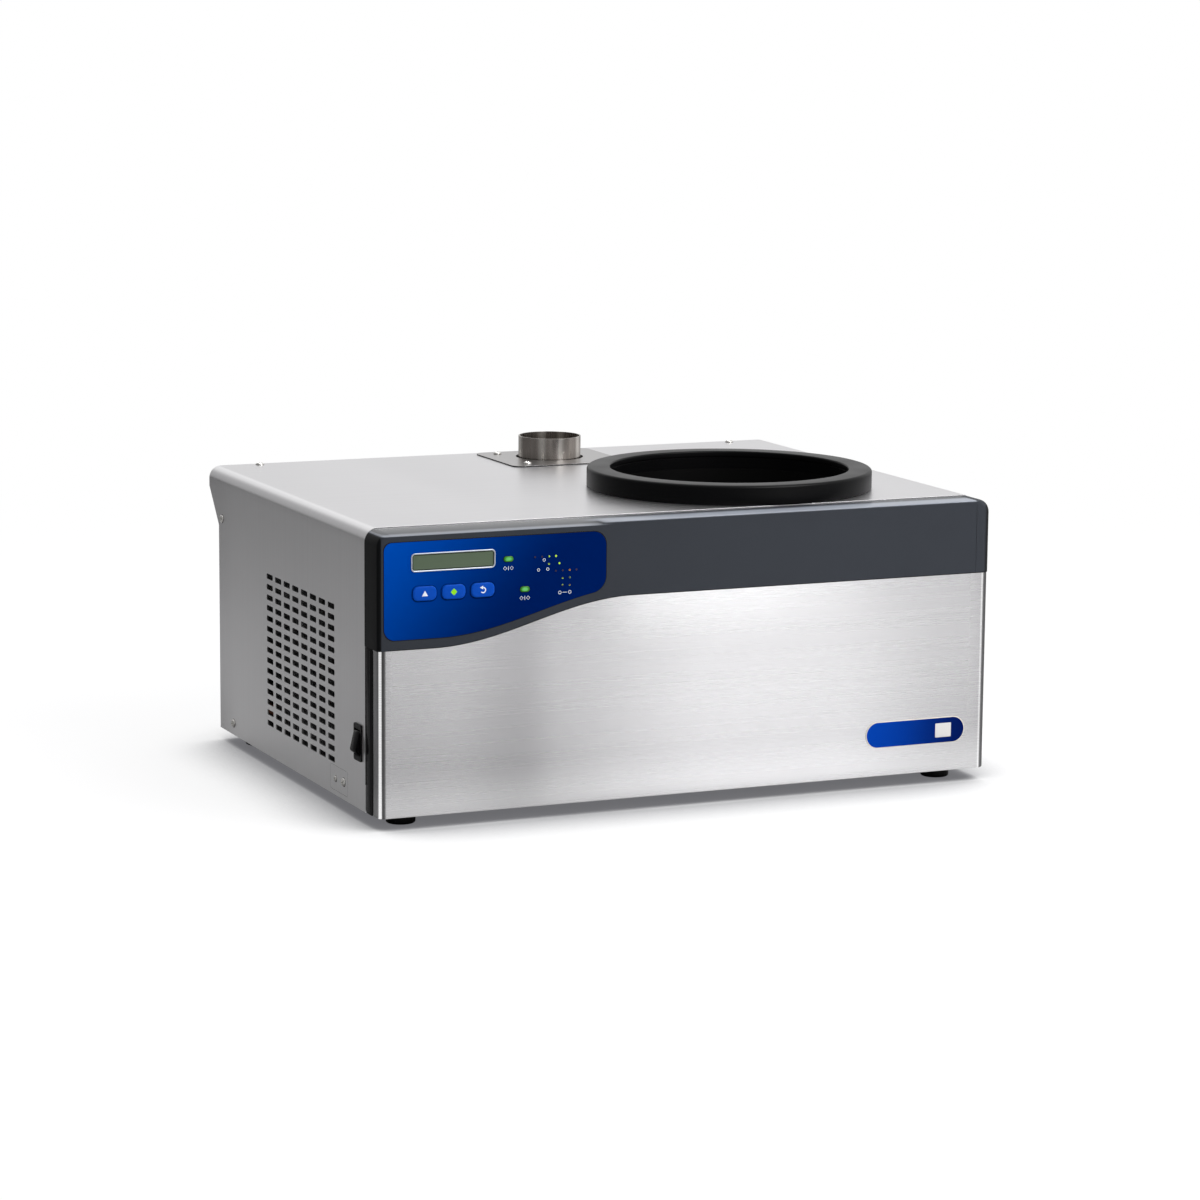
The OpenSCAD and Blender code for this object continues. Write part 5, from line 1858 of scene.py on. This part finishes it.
    def keys(self) -> None:
        """Three pillow-shaped keys: a flat crown, a soft shoulder and a straight skirt."""
        skirt = [(0.0, -4.0), (0.0, -2.2), (0.02, -1.5), (0.18, -1.0)]
        crown = [(0.55, -0.62), (1.1, -0.36), (2.0, -0.16), (3.4, -0.04), (5.0, 0.0)]
        for node, (w, h, x, z, y) in zip(self.names, self.pads):
            surface = loft((w, h, self.key_r), skirt + crown, Facing.FRONT, (x, y, z), 8)
            add_piece(f"{node}_cap", surface, Finishes.KEY, node, [node], sharp=50)
            sign, finish = self._sign(node, (x, y - self.ink, z))
            add_piece(f"{node}_sign", sign, finish, node, slot="badge_white")

    def _sign(self, node: str, spot: Floats) -> tuple[Surface, Finish]:
        """The printed sign on a key: an arrowhead, a diamond or a turning arrow.

        Args:
            node: The key.
            spot: The middle of the crown.

        Returns:
            The sign and its finish.
        """
        r = self.signs / 2
        if node == "key_up":
            return self._print(np.array([(-0.95, -0.75), (0.95, -0.75), (0, 0.85)]) * r, spot), Finishes.PRINT
        if node == "key_select":
            half = np.array([(-1, 0), (-0.35, -0.75), (0, -1), (0.35, -0.75)]) * r
            return self._print(np.concatenate([half, -half]), spot), Finishes.PRINT_GREEN
        turn = np.radians(np.linspace(-140, 92, 24))
        ring = np.stack([np.cos(turn), np.sin(turn)], -1)
        band = np.concatenate([ring * r * 0.92, ring[::-1] * r * 0.6])
        head = np.array([(-1.0, 0.76), (0.0, 0.2), (0.0, 1.32)]) * r
        return self._print(band, spot).plus(self._print(head, spot)), Finishes.PRINT

    def _print(self, outline: Array, spot: Floats) -> Surface:
        """A printed shape: its outline at two depths, with a strip between and both faces closed.

        Args:
            outline: Points counterclockwise.
            spot: Where its middle lies on the outer face.

        Returns:
            The closed surface.
        """
        flat = np.stack([outline, outline])
        depth = np.array([-2 * self.ink, 0.0])[:, None]
        return capped(grid(Facing.FRONT.place(spot, flat, depth), close_v=True), len(outline))

    def _ring_sign(self, x: float, z: float, r: float, front: float, steps: int = 20) -> Surface:
        """A small printed ring of outer radius r on the front face, or a diamond if it has four steps."""
        profile = [(r, -self.ink), (r, self.ink), (r - 0.55, self.ink), (r - 0.55, -self.ink)]
        return revolve(profile, Facing.FRONT, (x, front, z), steps)

    def _bar(self, x: float, z: float, w: float, h: float, front: float) -> Surface:
        """A small printed bar, w wide and h high."""
        box = np.array([(-w, -h), (w, -h), (w, h), (-w, h)]) / 2
        return self._print(box, (x, front - self.ink, z))

    def prints(self) -> None:
        """Small rings and bars under the lamps and beside the dots, in a layout of their own."""
        front = limits("control_overlay")[0][1]
        parts = []
        for x, z in ((-246.5, 310.6), (-225.2, 273.4)):
            parts += [self._ring_sign(x + side * 4.3, z, 2.5, front, 4) for side in (-1, 1)]
            parts.append(self._bar(x, z, 0.6, 5.0, front))
        dots_low, dots_high = limits("mimic_lamps")
        for x, z in ((5.8, 21.5), (17.8, 21.8), (13.0, 33.3)):
            parts.append(self._ring_sign(dots_low[0] + x, dots_low[2] + z, 1.9, front))
        foot = dots_low[2] - 7.5
        for x in (dots_high[0] - 23.0, dots_high[0] - 10.0):
            parts.append(self._ring_sign(x, foot, 2.1, front))
        parts.append(self._bar(dots_high[0] - 16.5, foot, 6.0, 0.6, front))
        add_piece("console_print", joined(parts), Finishes.PRINT, slot="badge_white")

    def display(self) -> None:
        """A rounded frame, and the glass set back inside it."""
        w, h, x, z = front_of("display_frame")
        middle = (x, limits("control_overlay")[0][1], z)
        outer = [(0.0, -0.1), (0.0, 0.35), (0.2, 0.72), (0.5, 0.88), (0.9, 0.9)]
        inner = [(1.2, 0.85), (1.5, 0.6), (1.6, 0.2), (1.6, -0.1)]
        rim = loft((w, h, 5.0), outer + inner, Facing.FRONT, middle, 8, hollow=True)
        add_piece("display_rim", rim, Finishes.SILVER, nodes=["display_frame"])
        glass = loft((w - 3.0, h - 3.0, 3.6), [(0.0, -2.0), (0.0, 0.06)], Facing.FRONT, middle)
        add_piece("display_glass", glass, Finishes.GLASS, nodes=["display_window"])

    def lamps(self) -> None:
        """Two oval domed lenses."""
        face = limits("control_overlay")[0][1]

        def pair(profile: Pairs, hollow: bool) -> Surface:
            """A profile carried round both lenses."""
            places = [(x, face, z) for x, z in Finishes.LAMP.centres]
            return joined(loft((12.2, 6.5, 3.2), profile, Facing.FRONT, place, 8, hollow) for place in places)

        dome = [(0.0, -0.2), (0.0, 0.3), (0.3, 0.6), (0.9, 0.78), (1.8, 0.85), (3.0, 0.88)]
        add_piece("status_lenses", pair(dome, False), Finishes.LAMP, nodes=["status_lamps"], sharp=50)
        rim = [(-0.7, -0.1), (-0.7, 0.12), (-0.1, 0.3), (0.0, 0.1), (0.0, -0.1)]
        add_piece("status_lens_rims", pair(rim, True), Finishes.BLACK)

    def badge(self) -> None:
        """A domed badge with a small raised white tile, both bare of print."""
        w, h, x, z = front_of("badge_plate")
        profile = [(0.0, 0.0), (0.0, 0.7), (0.2, 1.0), (0.6, 1.16), (1.6, 1.2)]
        back = limits("badge_plate")[1][1]
        plate = loft((w, h, h / 2 - 0.3), profile, Facing.FRONT, (x, back, z), 14)
        add_piece("badge_face", plate, Finishes.BADGE, nodes=["badge_plate"])
        w, h, x, z = front_of("badge_insert")
        profile = [(0.0, -0.1), (0.0, 0.2), (0.15, 0.32), (0.4, 0.36)]
        tile = loft((w, h, 1.0), profile, Facing.FRONT, (x, limits("badge_insert")[1][1], z))
        add_piece("badge_tile", tile, Finishes.WHITE, nodes=["badge_insert"])

    def build(self) -> None:
        """Makes every piece of the console."""
        self.overlay()
        self.display()
        self.keys()
        self.lamps()
        self.prints()
        self.badge()
        refine("control_board", Finishes.BOARD)


@dataclass
class MainsSwitch:
    """The rocker switch on the left side.

    Args:
        swing: The rocker's swing between its stops, in degrees.
        half: Half the rocker's height.
    """

    swing: float = 26.0
    half: float = 16.0

    def build(self) -> None:
        """A frame with rounded edges, and a rocker with two round ends, tilted by half its swing."""
        refine("switch_housing", Finishes.BLACK, 0.6)
        low, high = limits("switch_rocker")
        joint = next(j for j in frame["joints"] if j["child"] == "mains_rocker")
        pivot = np.array(joint["pos_m"]) / MM
        end = arc((-3.7, 9.6), 5.1, 100, 180, 10)
        upper = np.array([(9.0, 2.0), (7.0, 11.5), (3.0, 15.2), (-1.5, self.half), *end])
        own = np.concatenate([upper, upper[::-1] * [1, -1]])
        turn = math.radians(-self.swing / 2)
        spin = np.array([[math.cos(turn), math.sin(turn)], [-math.sin(turn), math.cos(turn)]])
        flat = own @ spin
        width = high[1] - low[1] - 2.4
        across = np.array([-0.5, -0.46, 0.46, 0.5]) * width
        shrink = np.array([0.965, 1.0, 1.0, 0.965])
        x = pivot[0] + flat[None, :, 0] * shrink[:, None]
        z = pivot[2] + flat[None, :, 1] * shrink[:, None]
        y = np.broadcast_to(pivot[1] + across[:, None], x.shape)
        rocker = capped(grid(np.stack([x, y, z], -1), close_v=True), len(own))
        pins = pin((pivot[0], low[1], pivot[2]), 2.0, high[1] - low[1])
        cap, finish = rocker.plus(pins), Finishes.BLACK_GLOSS
        add_piece("rocker_cap", cap, finish, "mains_rocker", ["switch_rocker"], sharp=40)


def pin(start: Floats, r: float, length: float) -> Surface:
    """A plain pin along Y: a circle carried along a straight line, closed at both ends.

    Args:
        start: Middle of its first end.
        r: Radius.
        length: Length.

    Returns:
        The closed surface.
    """
    angle = np.linspace(0, 2 * np.pi, 24, endpoint=False)
    ring = np.stack([np.cos(angle), np.sin(angle)], -1) * r
    points = Facing.REAR.place(start, np.stack([ring, ring]), np.array([0.0, length])[:, None])
    return capped(grid(points, close_v=True), 24)


# ---------- Screws ----------


@dataclass
class Screws:
    """Pan-head screws with a cross recess.

    Args:
        head: Head radius of the large and small screws.
        ratio: Height of a head against its radius.
        recess: Depth of the cross against the head's height.
    """

    head: tuple[float, float] = (5.2, 3.7)
    ratio: float = 0.62
    recess: float = 0.62

    def one(self, facing: Facing, seat: Floats, r: float) -> Surface:
        """A head on a grid of radius and angle: a dome, less a cross whose arms slope down to the middle.

        Args:
            facing: Which way the head looks.
            seat: Middle of its seat.
            r: Its radius.

        Returns:
            The closed head.
        """
        share = np.concatenate([[0.0], np.linspace(0.08, 0.8, 11), [0.88, 0.94, 0.98, 1.0, 1.0]])
        angle = np.linspace(0, 2 * np.pi, 48, endpoint=False)
        radius = (share * r)[:, None]
        a, b = radius * np.cos(angle), radius * np.sin(angle)
        top = self.ratio * r
        dome = top * np.sqrt(np.clip(1 - (share * 0.97) ** 2.6, 0, 1))[:, None] * np.ones_like(a)
        arm = np.minimum(np.abs(a), np.abs(b)) - r * 0.1
        sink = np.clip(1 - arm / (r * 0.06), 0, 1) * np.clip((0.6 - share[:, None]) / 0.15, 0, 1)
        height = dome - sink * top * self.recess
        height[-1] = -0.05
        flat = np.stack([a, b], -1)
        return capped(grid(facing.place(seat, flat, height), close_v=True), 48, first=False)

    def painted_shade_ring(self, facing: Facing, seat: Floats, r: float) -> Surface:
        """A thin flat ring under a head of radius r: painted shade round the head."""
        inner, outer = r - 0.4, r + 0.7
        return revolve([(inner, -0.05), (outer, -0.05), (outer, 0.15), (inner, 0.15)], facing, seat, 48)

    def group(self, name: str, node: str, seats: Sequence[tuple[Facing, Floats, float]]) -> None:
        """Makes one piece of all the screws that share a node, and one of the rings of painted shade under
        them.

        Args:
            name: The piece's name.
            node: The node.
            seats: Facing, seat and head radius of each.
        """
        add_piece(name, joined(self.one(*seat) for seat in seats), Finishes.SCREW, nodes=[node], sharp=60)
        # Black rings under the heads paint the shade round each screw.
        rings = joined(self.painted_shade_ring(*seat) for seat in seats)
        add_piece(name.replace("screws", "painted_shade_rings"), rings, Finishes.RUBBER)

    def build(self) -> None:
        """Places the screws of the cover, the port plate and the rear."""
        low, high = limits("cover")
        large, small = self.head
        sides = [(267.0, 297.6), (225.0, 31.7), (-198.2, 38.0)]
        seats = [(Facing.LEFT, (low[0], y, z), large) for y, z in sides]
        seats += [(Facing.RIGHT, (high[0], y, z), large) for y, z in sides]
        seats.append((Facing.LEFT, (low[0], -169.2, 36.8), small))
        seats += [(Facing.UP, (x, 308.0, high[2]), large) for x in (-345.0, 345.0)]
        self.group("casing_screws", "cover_screws", seats)
        low, high = limits("port_screws")
        plate = limits("port_plate")[1][2]
        xs, ys = ((low[n] + large, high[n] - large) for n in (0, 1))
        self.group("plate_screws", "port_screws", [(Facing.UP, (x, y, plate), large) for x in xs for y in ys])
        step = limits("rear_screws")[1][1] - self.ratio * large
        seats = [(Facing.REAR, (x, step, 31.0), large) for x in (-380.0, -130.0, 130.0, 380.0)]
        self.group("back_screws", "rear_screws", seats)
        refine("foot_screws", Finishes.SCREW)


# ---------- Collector and port ----------


@dataclass
class Collector:
    """The collar, the chamber with its coil, and the port on the top.

    Args:
        edge: Radius of the collar's outer upper edge.
        groove: Lowest and highest point of the groove inside the rim, below the collar's top.
        coil_r: Radius of the coil.
        tube_r: Radius of its tube.
        turns: Number of turns.
    """

    edge: float = 4.0
    groove: tuple[float, float] = (9.0, 6.5)
    coil_r: float = 140.0
    tube_r: float = 6.0
    turns: int = 8

    def collar(self) -> None:
        """Turns the collar's section: rounded rim, a groove inside and a seat for the chamber's lip."""
        low, high = limits("collar_gasket")
        outer = (high[0] - low[0]) / 2
        h = high[2] - low[2]
        inner, seat = 153.0, 170.3
        middle = (*centre_of("collar_gasket")[:2], low[2])
        g0, g1 = h - self.groove[0], h - self.groove[1]
        section = [(seat, 0.0)] + arc((outer - 1.5, 1.5), 1.5, -90, 0, 4)
        section += arc((outer - self.edge, h - self.edge), self.edge, 0, 90, 8)
        section += arc((inner + 2.2, h - 2.2), 2.2, 90, 180, 6)
        section += [(inner, g1), (inner + 2.0, g1), (inner + 2.0, g0), (inner, g0), (inner, 2.2), (seat, 2.2)]
        ring = revolve(section, Facing.UP, middle, 192)
        add_piece("collar_ring", ring, Finishes.RUBBER, nodes=["collar_gasket"], sharp=40)

    def coil(self) -> None:
        """Winds a round tube: its centre line rises evenly round the chamber's axis."""
        low, high = limits("evaporator_coil")
        base = low[2] + self.tube_r
        rise = high[2] - low[2] - 2 * self.tube_r
        turn = np.linspace(0, 2 * np.pi * self.turns, 90 * self.turns + 1)[:, None]
        side = np.linspace(0, 2 * np.pi, 14, endpoint=False)[None]
        r = self.coil_r + self.tube_r * np.cos(side)
        cx, cy, _ = centre_of("chamber")
        z = base + rise * turn / turn[-1] + self.tube_r * np.sin(side)
        tube = grid(np.stack([cx - r * np.cos(turn), cy + r * np.sin(turn), z + 0 * r], -1), close_v=True)
        add_piece("coil_tube", capped(tube, 14), Finishes.CHAMBER, nodes=["evaporator_coil"])

    def build(self) -> None:
        """Makes the collector, its drain, and the port with its pipes."""
        self.collar()
        self.coil()
        for node in ("chamber", "coil_supports"):
            refine(node, Finishes.CHAMBER, 0.3)
        refine("chamber_insulation", Finishes.FOAM)
        refine("drain_fitting", Finishes.BRASS, 0.3)
        refine("drain_barb", Finishes.BRASS, 0.3)
        refine("drain_hose", Finishes.HOSE)
        refine("port_tube", Finishes.PORT, 0.45)
        refine("port_plate", Finishes.PLATE, 0.12)
        for node in ("cross_pipe", "vacuum_line", "vacuum_outlet"):
            refine(node, Finishes.TUBE, 0.3)
        refine("vacuum_sensor", Finishes.BLACK, 0.5)


# ---------- Machinery ----------


@dataclass
class Machinery:
    """The refrigeration and electrical parts inside, mostly seen through the grilles.

    Args:
        edge: Radius that breaks the edges of the larger parts.
    """

    edge: float = 0.4

    def build(self) -> None:
        """Stands a smooth copy in for each part."""
        plan: dict[str, tuple[Finish, float]] = {
            "compressor": (Finishes.ENAMEL, self.edge),
            "compressor_grommets": (Finishes.RUBBER, 0.3),
            "compressor_cover": (Finishes.BLACK, self.edge),
            "condenser_coil": (Finishes.COPPER, 0.0),
            "condenser_fins": (Finishes.FIN, 0.0),
            "fan_shroud": (Finishes.ENAMEL, 0.3),
            "fan_bracket": (Finishes.ZINC, 0.2),
            "fan_motor": (Finishes.ENAMEL, self.edge),
            "fan_shaft": (Finishes.SCREW, 0.2),
            "fan_blade": (Finishes.FIN, 0.2),
            "filter_drier": (Finishes.COPPER, 0.0),
            "discharge_line": (Finishes.COPPER, 0.0),
            "liquid_line": (Finishes.COPPER, 0.0),
            "capillary_tube": (Finishes.COPPER, 0.0),
            "suction_line": (Finishes.COPPER, 0.0),
            "electrical_box": (Finishes.ZINC, self.edge),
            "power_inlet": (Finishes.BLACK, 0.4),
        }
        for node, (finish, edge) in plan.items():
            refine(node, finish, edge)
        dots = frame["nodes"]["mimic_lamps"]
        dots.data.materials.clear()
        dots.data.materials.append(material_of(Finishes.DOTS))


# ---------- Stage ----------


@dataclass
class Studio:
    """A pale floor, soft lamps, even surroundings and the camera.

    Args:
        where: The camera's place.
        yaw: Its turn to the right, in radians.
        pitch: Its tilt downwards.
        roll: Its turn about its own axis.
        focal: Focal length in widths of the frame.
        shift: How far the picture's middle is shifted, in widths of the frame.
        window: Strength of the bright window at the front right.
        pale, lift: The floor's colour for the eye, and the light added to it for the eye alone.
        reach: How far, in metres, the machine shades that light.
        fall: Open shares of the sky between which that shade falls off.
    """

    where: tuple[float, float, float] = (-1975.6, -4519.5, 1039.9)
    yaw: float = 0.414
    pitch: float = 0.170
    roll: float = 0.008
    focal: float = 3855.6 / 1200
    shift: tuple[float, float] = (0.0024, 0.0085)
    window: float = 0.7
    pale: float = 0.2
    lift: float = 0.83
    reach: float = 0.16
    fall: tuple[float, float] = (0.32, 0.92)

    def camera(self) -> None:
        """Looks along the yaw and pitch, with the roll taken about that line."""
        level = math.cos(self.pitch)
        ahead = Vector((math.sin(self.yaw) * level, math.cos(self.yaw) * level, -math.sin(self.pitch)))
        right = Vector((math.cos(self.yaw), -math.sin(self.yaw), 0.0))
        up = right.cross(ahead)
        turned = right * math.cos(self.roll) + up * math.sin(self.roll)
        raised = up * math.cos(self.roll) - right * math.sin(self.roll)
        lens = bpy.data.cameras.new("view")
        lens.sensor_width = 36.0
        lens.lens = 36.0 * self.focal
        lens.shift_x, lens.shift_y = self.shift
        lens.clip_end = 100.0
        eye = stand("view", lens)
        spin = Matrix((turned, raised, -ahead)).transposed().to_4x4()
        eye.matrix_world = Matrix.Translation(Vector(self.where) * MM) @ spin
        bpy.context.scene.camera = eye

    @staticmethod
    def lamp(name: str, place: Floats, aim: Floats, size: float, watts: float) -> None:
        """Adds a soft square lamp.

        Args:
            name: Its name.
            place: Where it stands, in metres.
            aim: Where it points, in metres.
            size: Its side, in metres.
            watts: Its power.
        """
        data = bpy.data.lights.new(name, "AREA")
        data.energy, data.size = watts, size
        lamp = stand(name, data)
        lamp.location = place
        lamp.rotation_euler = (Vector(aim) - Vector(place)).to_track_quat("-Z", "Y").to_euler()

    def surroundings(self) -> None:
        """White for the eye. For light, a soft room: dim on the left, with a window at the front right."""
        world = bpy.data.worlds.new("surroundings")
        world.use_nodes = True
        bpy.context.scene.world = world
        graph = Graph(world.node_tree)
        x, y, z = graph.parts(graph.add("TexCoord").outputs["Generated"])
        sides = 0.23 + x.ramp(-0.75, 0.35) * 0.56 + y.ramp(0.2, 0.9) * 0.02
        turn = x / (y.size() + 0.02)
        ahead = 1.0 - y.above(0.0)
        window = turn.hump(0.38, 0.46, 0.52, 0.6) * ahead * self.window
        light, white = (
            graph.add("Background", {"Color": WHITE, "Strength": strength}).outputs[0]
            for strength in (sides + window + z * 0.1, 1.0)
        )
        mix = graph.add("MixShader", {0: graph.eye(), 1: light, 2: white})
        graph.add("OutputWorld", {"Surface": mix.outputs[0]})

    def floor(self) -> None:
        """A wide matt floor that keeps the shadow: pale for the eye, with a painted contact shadow.

        For light it is painted dim on the left, with a painted bright band towards the window.
        """
        side = 30.0
        mesh = bpy.data.meshes.new("floor")
        corners = [(-side, -side, 0), (side, -side, 0), (side, side, 0), (-side, side, 0)]
        mesh.from_pydata(corners, [], [(0, 1, 2, 3)])
        graph = Paint("floor")
        eye = graph.eye()
        x, y, _ = graph.place
        near = 1.0 - (x * x + y * y).root().ramp(900.0, 2600.0)
        turn = (x + 1976.0) / (3880.0 - y)
        # Painted light for reflections only: a bright band towards the window, over a floor painted dim on
        # the left.
        window = turn.hump(0.41, 0.45, 0.515, 0.565) * (1.0 - y.ramp(-500.0, -300.0))
        dim = graph.blend(x.ramp(-1500.0, 300.0) * 0.5 + window * 0.5, grey(0.22), grey(0.95))
        pale = (self.pale, self.pale, self.pale * 1.02, 1.0)
        # Painted contact shadow: ambient occlusion darkens the light added for the eye, down to a dark grey.
        contact = graph.add("AmbientOcclusion", {"Distance": self.reach}, samples=16)
        open_sky = Value(graph, contact.outputs["AO"]).ramp(*self.fall)
        lift = graph.blend(open_sky, (0.14, 0.14, 0.15, 1.0), grey(self.lift))
        graph.shade(
            Base_Color=graph.blend(eye, dim, graph.blend(near, BLACK, pale)),
            Roughness=0.9,
            Specular_IOR_Level=0.0,
            Emission_Color=graph.blend(eye, BLACK, graph.blend(near, WHITE, lift)),
            Emission_Strength=1.0,
        )
        mesh.materials.append(graph.material)
        stand("floor", mesh)

    def build(self) -> None:
        """Sets the stage."""
        self.camera()
        self.surroundings()
        self.floor()
        self.lamp("key", (2.4, -2.6, 3.6), (0.1, 0.0, 0.15), 2.4, 60.0)
        self.lamp("top", (0.2, 0.6, 3.6), (0.0, 0.0, 0.2), 3.0, 27.0)
        self.lamp("sweep", (0.7, -1.6, 1.7), (0.65, -1.5, 0.0), 1.2, 26.0)
        bpy.context.scene.view_settings.view_transform = "Standard"


def write_sizes() -> None:
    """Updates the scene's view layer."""
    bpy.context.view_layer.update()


def main() -> None:
    """Builds the stage, then the machine from the outside in."""
    logging.basicConfig(level=logging.INFO, format="%(message)s")
    Studio().build()
    bezel = Bezel()
    for part in (Casing(), bezel, Console(bezel), MainsSwitch(), Screws(), Collector(), Machinery()):
        LOG.info("-- %s", type(part).__name__)
        part.build()
    write_sizes()


if __name__ == "__main__":
    main()
